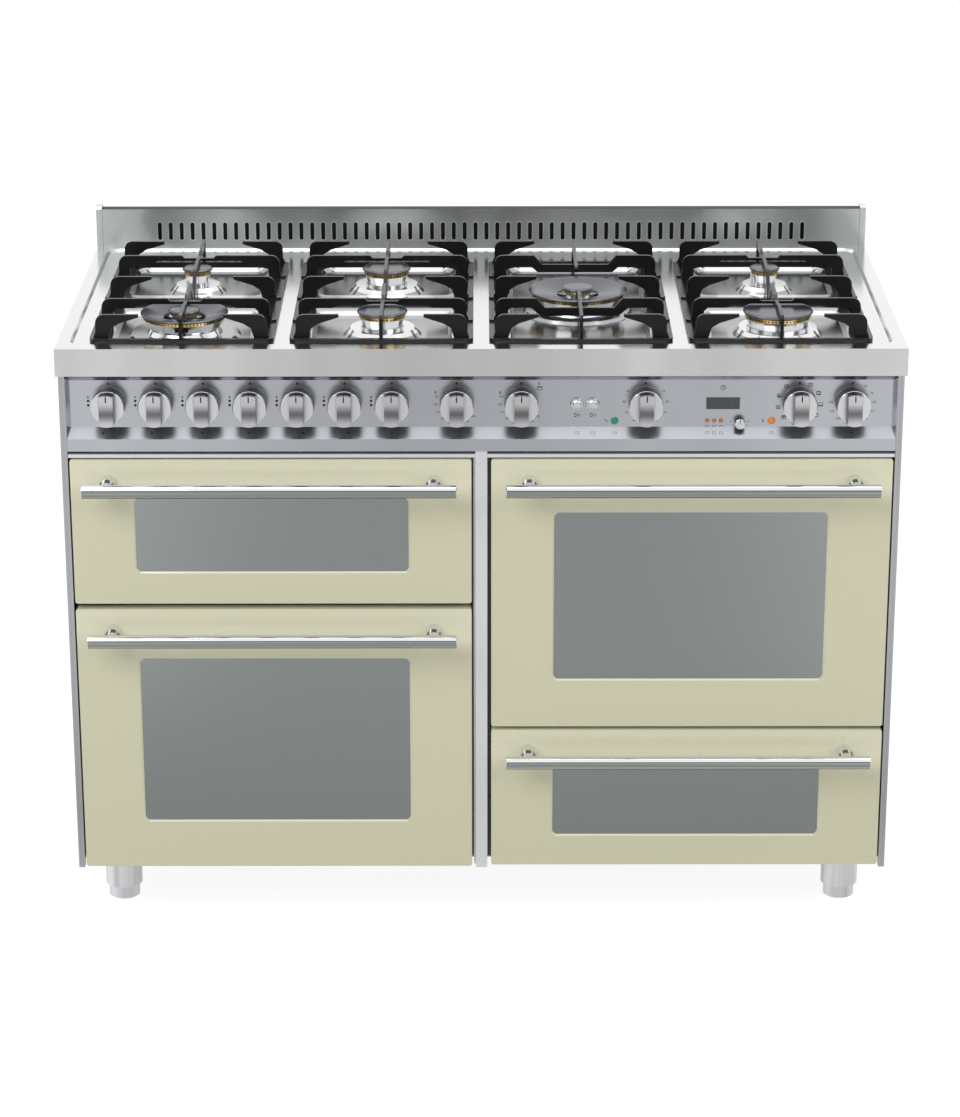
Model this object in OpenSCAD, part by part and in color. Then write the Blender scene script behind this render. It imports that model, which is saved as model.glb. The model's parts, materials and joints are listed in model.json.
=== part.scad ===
// Free-standing 120 cm dual-fuel range cooker: three ovens, a drawer, seven gas burners, a slotted upstand.
// Millimetres. X runs to the right seen from the front, Y runs away from the front, Z is up from the floor.
// The origin lies on the floor, under the middle of the whole cooker, handles included.

/* [Worktop] */
// Width of the hob top
hob_w = 1200; // [1180:5:1260]
// Depth of the hob top, front edge to rear edge
hob_d = 600; // [590:5:650]
// Height of the hob top above the floor
hob_z = 900; // [895:1:930]
// Height of the folded band round the hob top
band_h = 40; // [36:1:42]
// Thickness of the pressed sheet
sheet_t = 2; // [1.5:0.1:2.4]
// Width of the flat rim at the left and right of the hob recess
rim_side = 18; // [14:1:22]
// Depth of the flat rim in front of the hob recess
rim_front = 26; // [22:1:30]
// Depth of the hob recess below the rim
recess_t = 3; // [2:0.5:4]
// Depth of the burner wells below the recess
well_t = 5; // [3:0.5:6]
// Width of a burner well
well_w = 200; // [190:2:210]
// Height of the raised collar round a burner, above its well
collar_h = 11; // [9:0.5:12]

/* [Upstand] */
// Height of the slotted upstand above the hob top
upstand_h = 61; // [55:1:90]
// Front to back thickness of the upstand
upstand_t = 20; // [16:1:22]
// Width of one vent slot
slot_w = 6.3; // [5:0.1:8]
// Distance from one vent slot to the next
slot_pitch = 17; // [14:0.5:20]
// Height of one vent slot
slot_h = 28; // [20:1:36]
// Number of vent slots
slot_count = 60; // [40:2:62]
// Thickness of an upstand end cap
cap_w = 9; // [6:1:10]
// How far an end cap stands above the upstand
cap_rise = 5; // [2:1:8]

/* [Cabinet] */
// Height of the cabinet's underside above the floor
plinth_z = 100; // [90:1:110]
// How far the hob top overhangs the cabinet at each side
overhang = 3; // [2.5:0.5:6]
// Width of a side panel's front edge
side_edge = 9; // [7:1:11]
// Width of the centre mullion
mullion_w = 17; // [14:1:17]
// Diameter of a levelling foot
foot_d = 46; // [40:1:50]
// Diameter of the collar round a levelling foot
foot_collar_d = 55; // [53:1:60]
// Height of a levelling foot below its collar
foot_z = 20; // [12:1:30]
// Distance from the cabinet's side to a foot's axis
foot_inset = 52; // [40:1:70]
// Distance from the hob's front or rear edge to a foot's axis
foot_setback = 135; // [120:1:150]

/* [Control panel] */
// Lower edge of the control panel above the floor
panel_z0 = 747.6; // [746:0.2:750]
// Lower edge of the flat panel face above the floor
face_z0 = 779.7; // [776:0.1:784]
// Upper edge of the flat panel face above the floor
face_z1 = 849; // [846:0.5:850]
// Top of the control panel above the floor
panel_z1 = 855.6; // [853:0.2:857]
// Height of the knob axes above the floor
knob_z = 815; // [811:1:818]
// Diameter of a knob
knob_d = 48; // [40:1:50]
// Depth of a knob's round skirt
skirt_t = 24; // [18:1:28]
// How far the grip bar stands out of the skirt
grip_t = 18; // [12:1:20]
// Width of the grip bar
grip_w = 20; // [14:1:22]
// Diameter of a tap or switch spindle
spindle_d = 6; // [5:0.5:8]
// Diameter of a push button's bezel
bezel_d = 19; // [17:0.5:20]
// Travel of a push button
button_travel = 3; // [1:0.5:3]

/* [Doors] */
// Bottom of the grill oven's door above the floor
grill_door_z0 = 517.5; // [516:0.5:519]
// Bottom of the gas oven's door above the floor
gas_door_z0 = 103; // [102:0.5:105]
// Gap between the grill oven's door and the gas oven's door
gas_door_gap = 8.5; // [7:0.5:10]
// Bottom of the electric oven's door above the floor
electric_door_z0 = 326; // [325:0.5:328]
// Bottom of the drawer front above the floor
drawer_z0 = 105; // [103:0.5:106]
// Gap between the electric oven's door and the drawer front
drawer_gap = 5.5; // [5.2:0.1:8]
// Top of the upper doors above the floor
door_top_z = 735.5; // [733:0.5:736]
// Gap between a door and the side panel's edge
door_gap = 2.5; // [2:0.5:4]
// Gap between a door and the mullion
mullion_gap = 5.5; // [5:0.5:7]
// Depth of a door's enamelled outer panel
panel_t = 20; // [18:1:21]
// Depth of a door's inner liner
liner_t = 17; // [16:0.5:17]
// Thickness of the enamelled sheet
enamel_t = 2.5; // [1.5:0.5:3]
// Width of a window
window_w = 391; // [340:1:400]
// Height of a window in a short door
short_window_h = 112; // [90:1:115]
// Height of a window in a tall door
tall_window_h = 255; // [200:1:262]
// Bottom of a short window above its door's bottom
short_window_rise = 49; // [46:1:52]
// Bottom of a tall window above its door's bottom
tall_window_rise = 74.5; // [70:0.5:78]
// Thickness of one window pane
pane_t = 4; // [3:0.5:5]
// Diameter of a handle bar
bar_d = 19; // [16:1:22]
// Length of a handle bar
bar_l = 530; // [480:5:550]
// Distance between a handle's posts
post_pitch = 463; // [400:1:470]
// Diameter of a handle post
post_d = 22; // [20:1:24]
// How far a handle bar's axis stands in front of the doors
bar_reach = 45; // [40:1:50]
// How far a handle bar's axis lies below the door's top
bar_drop = 33; // [30:1:38]

/* [Ovens] */
// Width of an oven cavity
cavity_w = 460; // [440:2:470]
// Space between an oven's rear wall and the back panel
rear_space = 78; // [66:1:90]
// Thickness of a cavity wall
cavity_t = 1.5; // [1:0.1:2]
// Depth of the drawer box
drawer_d = 400; // [360:5:430]
// Width of the drawer box
drawer_w = 470; // [440:2:474]
// Height of the drawer box
drawer_h = 130; // [80:2:136]
// Thickness of the drawer box's sheet
drawer_t = 1.5; // [1:0.1:2]

/* [Pan supports] */
// Gap between neighbouring pan supports
support_gap = 23; // [20:0.5:26]
// Gap between the outer pan supports and the side of the hob recess
support_side_gap = 27.5; // [26:0.5:34]
// Depth of a pan support
support_d = 444; // [440:1:446]
// Height of the pan supports' top above the hob rim
support_rise = 38; // [36:1:44]
// Thickness of a cast plate or finger
plate_t = 5; // [4:0.5:7]
// Width of a pan support's frame bar
rail_w = 8; // [6:0.5:9]
// Height of a pan support's frame bar
rail_h = 7; // [6:0.5:10]

/* [Burners] */
// Radius of a small burner's cap
small_r = 22.5; // [20:0.5:24]
// Radius of a medium burner's cap
medium_r = 36; // [32:0.5:38]
// Radius of the rapid burner's cap
rapid_r = 50; // [44:0.5:52]
// Outer radius of the triple-ring burner's ring
triple_r = 62.5; // [58:0.5:66]
// Outer radius of the wok burner's ring
wok_r = 71.5; // [68:0.5:72.5]

/* [Hidden] */
$fn = 64;

// Clearances that several pieces share
fit = 0.3;         // between pieces that lie side by side
running = 0.05;    // radial, between a spindle or pin and its bore
seam = 0.1;        // between sheets that are spot-welded edge to edge or face to face
cut = 1;           // how far a cut runs past a face

// Depths: every depth is measured back from the hob's front edge, and y() turns it into a Y coordinate
face_d = 5;                              // outer face of doors and drawer
handle_front = bar_reach - face_d + bar_d / 2;
front_y = -(hob_d - handle_front) / 2;
function y(depth) = front_y + depth;
lip_d = 6;                               // control panel's lower lip
panel_face_d = 20;                       // control panel's flat face
side_front_d = 8;                        // front edge of the side panels
frame_d = 45;                            // front face of the front frame
frame_t = 2;
cavity_d0 = frame_d + frame_t;
back_d = hob_d - upstand_t - 2;          // front face of the back panel
back_t = 2;
cavity_d1 = back_d - rear_space;         // inside of a cavity's rear wall

// Heights
recess_z = hob_z - recess_t;
well_z = recess_z - well_t;
collar_z = well_z + collar_h;
support_z = hob_z + support_rise;
band_z = hob_z - band_h;
body_half_w = hob_w / 2 - overhang;
door_half_x1 = body_half_w - side_edge - door_gap;       // outer edge of the doors
door_half_x0 = mullion_w / 2 + mullion_gap;              // inner edge of the doors
door_w = door_half_x1 - door_half_x0;
door_x = (door_half_x0 + door_half_x1) / 2;              // middle of the right-hand doors
frame_top_z = panel_z0 + 12;
gas_door_z1 = grill_door_z0 - gas_door_gap;
drawer_z1 = electric_door_z0 - drawer_gap;

// Door hinges: the axis lies this far above a door's bottom and behind its face
pivot_rise = 12;
pivot_back = 12;
pivot_d = face_d + pivot_back;
hinge_pin_d = 6;
hinge_arm_t = 4;
hinge_lug_t = 8;
hinge_slot_t = hinge_arm_t + 1;
hinge_x = door_w / 2 - 42;               // from a door's middle to a hinge
mouth_sill = 41;                         // oven mouth's bottom above the door's bottom
mouth_head = 17;                         // oven mouth's top below the door's top
seal_w = 8;
seal_gap = 5;                            // from the mouth's edge to the seal
seal_t = frame_d - face_d - panel_t - liner_t - fit;

// The three ovens: [middle x, door bottom, door top, window height, window rise]
GRILL = [-door_x, grill_door_z0, door_top_z, short_window_h, short_window_rise];
GAS = [-door_x, gas_door_z0, gas_door_z1, tall_window_h, tall_window_rise];
ELECTRIC = [door_x, electric_door_z0, door_top_z, tall_window_h, tall_window_rise];
DRAWER = [door_x, drawer_z0, drawer_z1, short_window_h, short_window_rise];
OVENS = [GRILL, GAS, ELECTRIC];
function mouth_z0(oven) = oven[1] + mouth_sill;
function mouth_z1(oven) = oven[2] - mouth_head;

// Racks: height of each rack above its cavity's floor, and the levels of the side runners
grill_rack_rise = 52;
gas_rack_rise = 76;
electric_rack_rise = 128;
runner_levels = 70;                      // distance between runner levels
rack_rod_d = 6;
rack_wire_d = 3;
rack_front_d = 60;
rack_l = cavity_d1 - rack_front_d - 55;  // the rear rod stays clear of the fan cover

// Controls: each keeps its share of the panel's width when the hob is wider or narrower
spread = hob_w / 1200;
gas_knob_x0 = -527.4 * spread;
gas_knob_pitch = 66.8 * spread;
gas_knob_n = 7;
function gas_knob_x(i) = gas_knob_x0 + gas_knob_pitch * i;
gas_oven_knob_x = -34.8 * spread;
grill_knob_x = 56.7 * spread;
timer_knob_x = 232.9 * spread;
selector_knob_x = 450.5 * spread;
thermostat_knob_x = 525.5 * spread;
light_button_x = 135.5 * spread;
ignition_button_x = 158 * spread;
button_z = knob_z - 1.4;
clock_knob_x = 366.6 * spread;
clock_knob_z = 786.5;
clock_knob_d = 15;
clock_knob_t = 12;
knob_gap = 1;                            // between a knob's skirt and the panel
display_x = 342.6 * spread;
display_z = 814.2;
display_w = 47.4;
display_h = 17.3;
lamp_z = 788.7;
lamp_d = 11;
green_lamp_x = 189.1 * spread;
amber_lamp_x = 411.7 * spread;
led_d = 6.4;
LED_X = [320.5, 330.5, 340.1] * spread;
tap_d = 22;
tap_l = 38;
manifold_d = panel_face_d + sheet_t + 44;                // depth of the manifold's axis
manifold_r = 8;
pipe_r = 7;                              // pipe from the manifold to the gas inlet
inlet_r = 10.48;
inlet_l = 18;
inlet_x = body_half_w - 45;
gland_x = inlet_x - 82;
gland_z = 640;
gland_r = 7;

// Pan supports: four equal ones across the recess
support_w = (hob_w - 2 * rim_side - 2 * support_side_gap - 3 * support_gap) / 4;
support_pitch = support_w + support_gap;

// Burners: [x, depth, cap radius, ring radius or 0, level of the feed tube, tap number]
row_front_d = 107;
row_rear_d = 349;
wok_d = 230;
BURNERS = [
    [-1.5 * support_pitch, row_front_d, small_r, triple_r, 4, 0],
    [-1.5 * support_pitch, row_rear_d, small_r, 0, 5, 1],
    [-0.5 * support_pitch, row_front_d, medium_r, 0, 3, 2],
    [-0.5 * support_pitch, row_rear_d, medium_r, 0, 6, 3],
    [0.5 * support_pitch, wok_d, small_r, wok_r, 1, 4],
    [1.5 * support_pitch, row_front_d, rapid_r, 0, 2, 5],
    [1.5 * support_pitch, row_rear_d, small_r, 0, 0, 6]
];
function is_triple(b) = b[3] > 0;
function outer_r(b) = max(b[2], b[3]);
function collar_r1(b) = is_triple(b) ? 54 : b[2] < 40 ? b[2] + 20 : b[2] + 14;   // collar's foot
function collar_r2(b) = is_triple(b) ? 50 : b[2] < 40 ? b[2] + 10 : b[2] + 6;    // collar's flat top
dais_r = 80;                             // low round step under a triple-ring burner
dais_z = recess_z - 1;
function cup_r(b) = is_triple(b) ? 40 : b[2] - 8;                         // part below the hob
body_top_z = collar_z + 15.5;
ring_t = 5;
burner_cap_t = 5;
cap_top_z = body_top_z + ring_t + burner_cap_t;
cup_z = hob_z - 26;
tube_r = 3;
tube_step = 6.2;
tube_z0 = knob_z + 14;

// Pan supports: places of the cast plates, measured from the middle of the support
support_mid_d = 257;
plate_row = 124;                         // full plates
finger_row = 211;                        // outer rows of fingers
finger_tip = 60;                         // from the middle line to a finger's tip
plate_web = 14;                          // height of a full plate's web
hub_drop = 4;                            // how far a full plate dips in the middle
hub_clear = 8;                           // from the support's top to the underside over the burners
rail_z = recess_z;

// Cabinet details shared by its pieces
hem = 12;
trim_z0 = 738.4;
trim_z1 = 743.3;
drawer_runner_z = drawer_z0 + 75;
drawer_bay_half_w = drawer_w / 2 + 12;
drawer_bay_z0 = drawer_z0 + 9;
drawer_bay_z1 = drawer_z1 - 25.5;
drawer_box_z0 = drawer_z0 + 17;

// Convection fan, behind the middle of the electric oven
fan_x = door_x;
fan_z = (mouth_z0(ELECTRIC) + mouth_z1(ELECTRIC)) / 2;
fan_r = 75;
fan_shaft_r = 4;
fan_space = 38;                          // from the fan cover to the cavity's rear wall
fan_cover_d = cavity_d1 - fan_space;

STEEL = "#b9bbbe";
BRUSHED = "#c8c8ca";
CREAM = "#cfd0b4";
DARK = "#2a2b2d";
CHROME = "#e2e4e6";
ENAMEL = "#3b3f45";

// ---------------------------------------------------------------- shared shapes

// Points of an arc, counted from angle a0 to angle a1
function arc(cx, cy, r, a0, a1, n = 6) =
    [for (i = [0:n]) let (a = a0 + (a1 - a0) * i / n) [cx + r * cos(a), cy + r * sin(a)]];

// Flat rectangle with round corners, centred
module round_rect(w, h, r) {
    square([w - 2 * r, h], center = true);
    square([w, h - 2 * r], center = true);
    for (sx = [-1, 1], sy = [-1, 1]) translate([sx * (w / 2 - r), sy * (h / 2 - r)]) circle(r);
}

// Box between two corners; depths go in as Y
module block(x0, x1, d0, d1, z0, z1) {
    translate([x0, y(d0), z0]) cube([x1 - x0, d1 - d0, z1 - z0]);
}

// Cylinder along Y from depth d0 back to depth d1
module along_y(x, z, d0, d1, r) {
    translate([x, y(d0), z]) rotate([-90, 0, 0]) cylinder(h = d1 - d0, r = r);
}

// Cone along Y from radius r0 at depth d0 to radius r1 at depth d1
module cone_y(x, z, d0, d1, r0, r1) {
    translate([x, y(d0), z]) rotate([-90, 0, 0]) cylinder(h = d1 - d0, r1 = r0, r2 = r1);
}

// Cylinder along X
module along_x(x0, x1, d, z, r) {
    translate([x0, y(d), z]) rotate([0, 90, 0]) cylinder(h = x1 - x0, r = r);
}

// Flat shape drawn in X and Z, centred on x and z, running back from depth d0 to d1
module upright(x, z, d0, d1) {
    translate([x, y(d1), z]) rotate([90, 0, 0]) linear_extrude(d1 - d0) children();
}

// Cylinder between two points
module rod(a, b, r) {
    v = b - a;
    translate(a) rotate([0, acos(v[2] / norm(v)), atan2(v[1], v[0])]) cylinder(h = norm(v), r = r);
}

// Pressed hollow with sloping walls, from its floor at z0 up to its mouth at z1
module hollow(w, d, r, z0, z1, slope) {
    translate([0, 0, z0]) linear_extrude(z1 - z0, slices = 1, scale = [w / (w - 2 * slope), d / (d - 2 * slope)])
        round_rect(w - 2 * slope, d - 2 * slope, r, $fn = 24);
}

// ---------------------------------------------------------------- hob

recess_w = hob_w - 2 * rim_side;
recess_d0 = rim_front;
recess_d1 = hob_d - upstand_t - 8;
well_front_d = [33, 212];                // front and rear edge of the front wells
well_rear_d = [302, 466];                // front and rear edge of the rear wells

// Wells: [x, front edge, rear edge]; the wok burner has one long well
function wells() = concat(
    [for (i = [-1.5, -0.5, 1.5]) [i * support_pitch, well_front_d[0], well_front_d[1]]],
    [for (i = [-1.5, -0.5, 1.5]) [i * support_pitch, well_rear_d[0], well_rear_d[1]]],
    [[0.5 * support_pitch, well_front_d[0], well_rear_d[1]]]
);

module each_well() {
    for (w = wells()) translate([w[0], y((w[1] + w[2]) / 2), 0]) {
        $well_d = w[2] - w[1];
        children();
    }
}

module recess_hollow(grow, z0, z1) {
    translate([0, y((recess_d0 + recess_d1) / 2), 0])
        hollow(recess_w + 2 * grow, recess_d1 - recess_d0 + 2 * grow, 20, z0, z1, 4);
}

module hob_top() {
    color(STEEL) difference() {
        union() {
            difference() {
                block(-hob_w / 2, hob_w / 2, 0, hob_d, band_z, hob_z);
                block(-hob_w / 2 + sheet_t, hob_w / 2 - sheet_t, sheet_t, hob_d - sheet_t,
                    band_z - cut, hob_z - sheet_t);
            }
            recess_hollow(sheet_t, recess_z - sheet_t, hob_z - sheet_t / 2);
            each_well() hollow(well_w + 2 * sheet_t, $well_d + 2 * sheet_t, 16,
                well_z - sheet_t, recess_z - sheet_t / 2, 6);
        }
        recess_hollow(0, recess_z, hob_z + 0.001);
        each_well() hollow(well_w, $well_d, 16, well_z, recess_z + 0.001, 6);
        for (b = BURNERS) translate([b[0], y(b[1]), well_z - sheet_t - cut])
            cylinder(h = sheet_t + 2 * cut, r = (is_triple(b) ? dais_r : collar_r1(b)) - sheet_t);
        // Flue slot under the upstand
        block(-hob_w / 2 + 90, hob_w / 2 - 90, back_d + back_t + 2, hob_d - sheet_t - 2,
            hob_z - sheet_t - cut, hob_z + cut);
    }
    color(STEEL) for (b = BURNERS) translate([b[0], y(b[1]), 0]) burner_collar(b);
}

// Raised ring of the pressed sheet round one burner; a triple-ring burner's stands on a low round step
module burner_collar(b) {
    r1 = collar_r1(b);
    r2 = collar_r2(b);
    bore = cup_r(b) + fit;
    t = sheet_t;
    rotate_extrude() polygon(is_triple(b)
        ? [[dais_r, well_z - t], [dais_r, well_z], [dais_r - 4, dais_z], [r1, dais_z], [r2, collar_z],
            [bore, collar_z], [bore, collar_z - t], [r2 - 1, collar_z - t], [r1 - 1, dais_z - t],
            [dais_r - 5, dais_z - t], [dais_r - t - 1, well_z - t]]
        : [[r1, well_z - t], [r1, well_z], [r2, collar_z], [bore, collar_z], [bore, collar_z - t],
            [r2 - 1, collar_z - t], [r1 - t - 1, well_z - t]]);
}

// ---------------------------------------------------------------- upstand

module slot_shape() {
    square([slot_w, slot_h - slot_w], center = true);
    for (s = [-1, 1]) translate([0, s * (slot_h - slot_w) / 2]) circle(slot_w / 2, $fn = 24);
}

module upstand() {
    half = body_half_w - cap_w + overhang;
    front = hob_d - upstand_t;
    slot_z = hob_z + upstand_h * 0.43;
    color(STEEL) difference() {
        block(-half, half, front, hob_d, hob_z, hob_z + upstand_h);
        block(-half - cut, half + cut, front + sheet_t, hob_d - sheet_t, hob_z - cut,
            hob_z + upstand_h - sheet_t);
        upright(0, slot_z, front - cut, front + sheet_t + cut)
            for (i = [0:slot_count - 1]) translate([(i - (slot_count - 1) / 2) * slot_pitch, 0]) slot_shape();
    }
    color(BRUSHED) for (s = [-1, 1]) translate([s * (half + cap_w / 2), 0, hob_z]) end_cap();
}

// End cap of the upstand: a plate with round upper corners
module end_cap() {
    h = upstand_h + cap_rise;
    r = 6;
    translate([-cap_w / 2, y(hob_d), 0]) rotate([90, 0, 90]) linear_extrude(cap_w) translate([-upstand_t - 2, 0])
        polygon(concat([[0, 0], [upstand_t + 2, 0]], arc(upstand_t + 2 - r, h - r, r, 0, 90),
            arc(r, h - r, r, 90, 180)));
}

// ---------------------------------------------------------------- cabinet

module side_panels() {
    color(STEEL) for (s = [0, 1]) mirror([s, 0, 0]) difference() {
        union() {
            block(body_half_w - 1.5, body_half_w, side_front_d, hob_d - 2, plinth_z, hob_z - sheet_t);
            block(body_half_w - side_edge, body_half_w, side_front_d, side_front_d + hem, plinth_z,
                hob_z - sheet_t);
            block(body_half_w - side_edge, body_half_w, back_d - 10, back_d - 8, plinth_z + 2,
                hob_z - 2 * sheet_t - 2);
        }
        // Groove down the front edge
        block(body_half_w - 4.5, body_half_w - 3.5, side_front_d - cut, side_front_d + 1, plinth_z - cut,
            hob_z + cut);
    }
}

module back_panel() {
    half = body_half_w - 1.5;
    duct_w = 120;
    color(STEEL) difference() {
        union() {
            block(-half, half, back_d, back_d + back_t, plinth_z, hob_z - sheet_t);
            for (s = [-1, 1]) block(s * door_x - duct_w / 2, s * door_x + duct_w / 2, back_d, hob_d - sheet_t - 1,
                mouth_z1(GRILL) - 30, hob_z - sheet_t);
        }
        for (s = [-1, 1]) block(s * door_x - duct_w / 2 + 1.5, s * door_x + duct_w / 2 - 1.5, back_d - cut,
            hob_d - sheet_t - 2.5, mouth_z1(GRILL) - 28.5, hob_z + cut);
        along_y(inlet_x, knob_z, back_d - cut, back_d + back_t + cut, pipe_r + fit);
        along_y(gland_x, gland_z, back_d - cut, back_d + back_t + cut, gland_r + 3.3);
    }
}

module base_plate() {
    half = body_half_w - 1.5;
    color(STEEL) block(-half, half, frame_d, back_d, plinth_z, plinth_z + 2);
}

// Frame behind the doors, welded from strips round the oven mouths and the drawer bay, with the hinge arms
module front_frame() {
    half = body_half_w - 1.5;
    z0 = plinth_z + 2;
    mouth = cavity_w / 2;
    bay_x0 = DRAWER[0] - drawer_bay_half_w;
    bay_x1 = DRAWER[0] + drawer_bay_half_w;
    color(ENAMEL) {
        // Uprights
        frame_strip(-half, GAS[0] - mouth, z0, frame_top_z);
        frame_strip(GAS[0] + mouth, bay_x0, z0, frame_top_z);
        frame_strip(bay_x1, half, z0, frame_top_z);
        // Cross strips of the left-hand and the right-hand side
        for (z = [[z0, mouth_z0(GAS)], [mouth_z1(GAS), mouth_z0(GRILL)], [mouth_z1(GRILL), frame_top_z]])
            frame_strip(GAS[0] - mouth + seam, GAS[0] + mouth - seam, z[0], z[1]);
        for (z = [[z0, drawer_bay_z0], [drawer_bay_z1, mouth_z0(ELECTRIC)], [mouth_z1(ELECTRIC), frame_top_z]])
            frame_strip(bay_x0 + seam, bay_x1 - seam, z[0], z[1]);
        // Short strips beside the electric oven's mouth, which is narrower than the drawer bay
        for (x = [[bay_x0 + seam, ELECTRIC[0] - mouth], [ELECTRIC[0] + mouth, bay_x1 - seam]])
            frame_strip(x[0], x[1], mouth_z0(ELECTRIC) + seam, mouth_z1(ELECTRIC) - seam);
    }
    color(STEEL) for (oven = OVENS, s = [-1, 1]) hinge_arm(oven[0] + s * hinge_x, oven[1] + pivot_rise);
}

module frame_strip(x0, x1, z0, z1) {
    block(x0, x1, frame_d, frame_d + frame_t, z0, z1);
}

// Flat arm from the frame to a door's hinge axis, with its pin
module hinge_arm(x, z) {
    r = hinge_pin_d / 2 + 3;
    pin_half = hinge_slot_t / 2 + hinge_lug_t - 0.5;
    block(x - hinge_arm_t / 2, x + hinge_arm_t / 2, pivot_d, frame_d - seam, z - r, z + r);
    along_x(x - hinge_arm_t / 2, x + hinge_arm_t / 2, pivot_d, z, r);
    along_x(x - pin_half, x + pin_half, pivot_d, z, hinge_pin_d / 2);
}

module front_trim() {
    edge = body_half_w - side_edge;
    color(BRUSHED) {
        block(-mullion_w / 2, mullion_w / 2, side_front_d, frame_d, plinth_z, panel_z0);
        for (s = [-1, 1]) block(min(s * mullion_w / 2, s * (edge - 1)), max(s * mullion_w / 2, s * (edge - 1)),
            lip_d, frame_d, trim_z0, trim_z1);
        // Narrow return that shows beside the left-hand doors
        block(-mullion_w / 2 - 2.8, -mullion_w / 2, side_front_d + 12, frame_d, plinth_z, trim_z0);
    }
}

module feet() {
    for (sx = [-1, 1], sd = [foot_setback, hob_d - foot_setback]) translate([sx * (body_half_w - foot_inset), y(sd), 0]) {
        color(BRUSHED) difference() {
            translate([0, 0, foot_z]) cylinder(h = plinth_z - foot_z, d = foot_collar_d);
            translate([0, 0, foot_z - cut]) cylinder(h = plinth_z - foot_z - 8, d = 24);
        }
        color(STEEL) {
            cylinder(h = foot_z - fit, d = foot_d);
            cylinder(h = plinth_z - 30, d = 24 - 2 * fit);
        }
    }
}

// ---------------------------------------------------------------- control panel

// Section of the panel: lip, sloping ledge, face, top bevel; points are [depth, height]
function panel_front() = [
    [frame_d, panel_z0], [lip_d, panel_z0], [lip_d, face_z0 - (panel_face_d - lip_d)],
    [panel_face_d, face_z0], [panel_face_d, face_z1], [panel_face_d - 6.6, panel_z1], [frame_d, panel_z1]
];
function panel_back() = [
    [frame_d, panel_z1 - sheet_t], [panel_face_d - 2, panel_z1 - sheet_t],
    [panel_face_d + sheet_t, face_z1 + 2], [panel_face_d + sheet_t, face_z0 - 0.8],
    [lip_d + sheet_t, face_z0 - (panel_face_d - lip_d) - 0.8], [lip_d + sheet_t, panel_z0 + sheet_t],
    [frame_d, panel_z0 + sheet_t]
];

module panel_section(x0, x1, points) {
    translate([x0, y(0), 0]) rotate([90, 0, 90]) linear_extrude(x1 - x0) polygon(points);
}

module control_panel() {
    half = body_half_w - side_edge - 0.5;
    cheek = 5;                           // width of the sloping cheek at each end
    color(STEEL) difference() {
        union() {
            panel_section(-half, half, concat(panel_front(), panel_back()));
            for (s = [0, 1]) mirror([s, 0, 0]) {
                // Cheek that closes the recess at the end, sloping in to the face
                hull() {
                    block(half - 0.5, half, lip_d, panel_face_d + 1, panel_z0 + 1, panel_z1 - 1);
                    block(half - cheek, half, panel_face_d, panel_face_d + 1, face_z0 - 0.5, face_z1 + 0.5);
                }
            }
        }
        for (x = concat([for (i = [0:gas_knob_n - 1]) gas_knob_x(i)], [gas_oven_knob_x, grill_knob_x,
            timer_knob_x, selector_knob_x, thermostat_knob_x])) panel_hole(x, knob_z, spindle_d / 2 + 1);
        panel_hole(clock_knob_x, clock_knob_z, 3);
        for (x = [light_button_x, ignition_button_x]) panel_hole(x, button_z, bezel_d / 2 - 1.5 + fit);
        for (x = [green_lamp_x, amber_lamp_x]) panel_hole(x, lamp_z, lamp_d / 2 + 0.1);
        for (x = LED_X) panel_hole(x, lamp_z, led_d / 2 + 0.1);
        block(display_x - display_w / 2 - 0.1, display_x + display_w / 2 + 0.1, panel_face_d - cut,
            panel_face_d + sheet_t + cut, display_z - display_h / 2 - 0.1, display_z + display_h / 2 + 0.1);
    }
}

module panel_hole(x, z, r) {
    along_y(x, z, panel_face_d - cut, panel_face_d + sheet_t + cut, r);
}

// Clock window, mains lamp, thermostat lamp and the clock's three small lamps
module indicators() {
    back = panel_face_d + sheet_t;
    color("#4d5358") {
        block(display_x - display_w / 2, display_x + display_w / 2, panel_face_d - 0.6, back,
            display_z - display_h / 2, display_z + display_h / 2);
        block(display_x - display_w / 2 - 4, display_x + display_w / 2 + 4, back, back + 9,
            display_z - display_h / 2 - 4, display_z + display_h / 2 + 4);
    }
    color("#0f7a55") lamp(green_lamp_x, lamp_d / 2);
    color("#d8862a") {
        lamp(amber_lamp_x, lamp_d / 2);
        for (x = LED_X) lamp(x, led_d / 2);
    }
}

module lamp(x, r) {
    along_y(x, lamp_z, panel_face_d, panel_face_d + sheet_t, r);
    cone_y(x, lamp_z, panel_face_d - 1.2, panel_face_d, r * 0.75, r);
    along_y(x, lamp_z, panel_face_d + sheet_t, panel_face_d + sheet_t + 12, r + 1);
}

// Large knob: round skirt, grip bar with a pointer groove, and a bore for the spindle
module knob(x) {
    back = panel_face_d - knob_gap;
    front = back - skirt_t;
    r = knob_d / 2;
    color(CHROME) difference() {
        union() {
            along_y(x, knob_z, front + 1, back - 1, r);
            cone_y(x, knob_z, front, front + 1, r - 1, r);
            cone_y(x, knob_z, back - 1, back, r, r - 1);
            upright(x, knob_z, front - grip_t + 1, front + 2) grip_shape(0);
            upright(x, knob_z, front - grip_t, front - grip_t + 1) grip_shape(0.8);
        }
        along_y(x, knob_z, front + 4, back + cut, spindle_d / 2 + running);
        block(x - 0.9, x + 0.9, front - grip_t - cut, front - grip_t + 0.7, knob_z + r - 11, knob_z + r - 2.4);
        // Finger grooves beside the grip
        for (s = [-1, 1]) block(x + s * (grip_w / 2 + 1.2) - 1.2, x + s * (grip_w / 2 + 1.2) + 1.2,
            front - cut, front + 1.6, knob_z - r - cut, knob_z + r + cut);
    }
}

module grip_shape(inset) {
    intersection() {
        circle(knob_d / 2 - 0.5 - inset);
        square([grip_w - 2 * inset, knob_d], center = true);
    }
}

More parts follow.
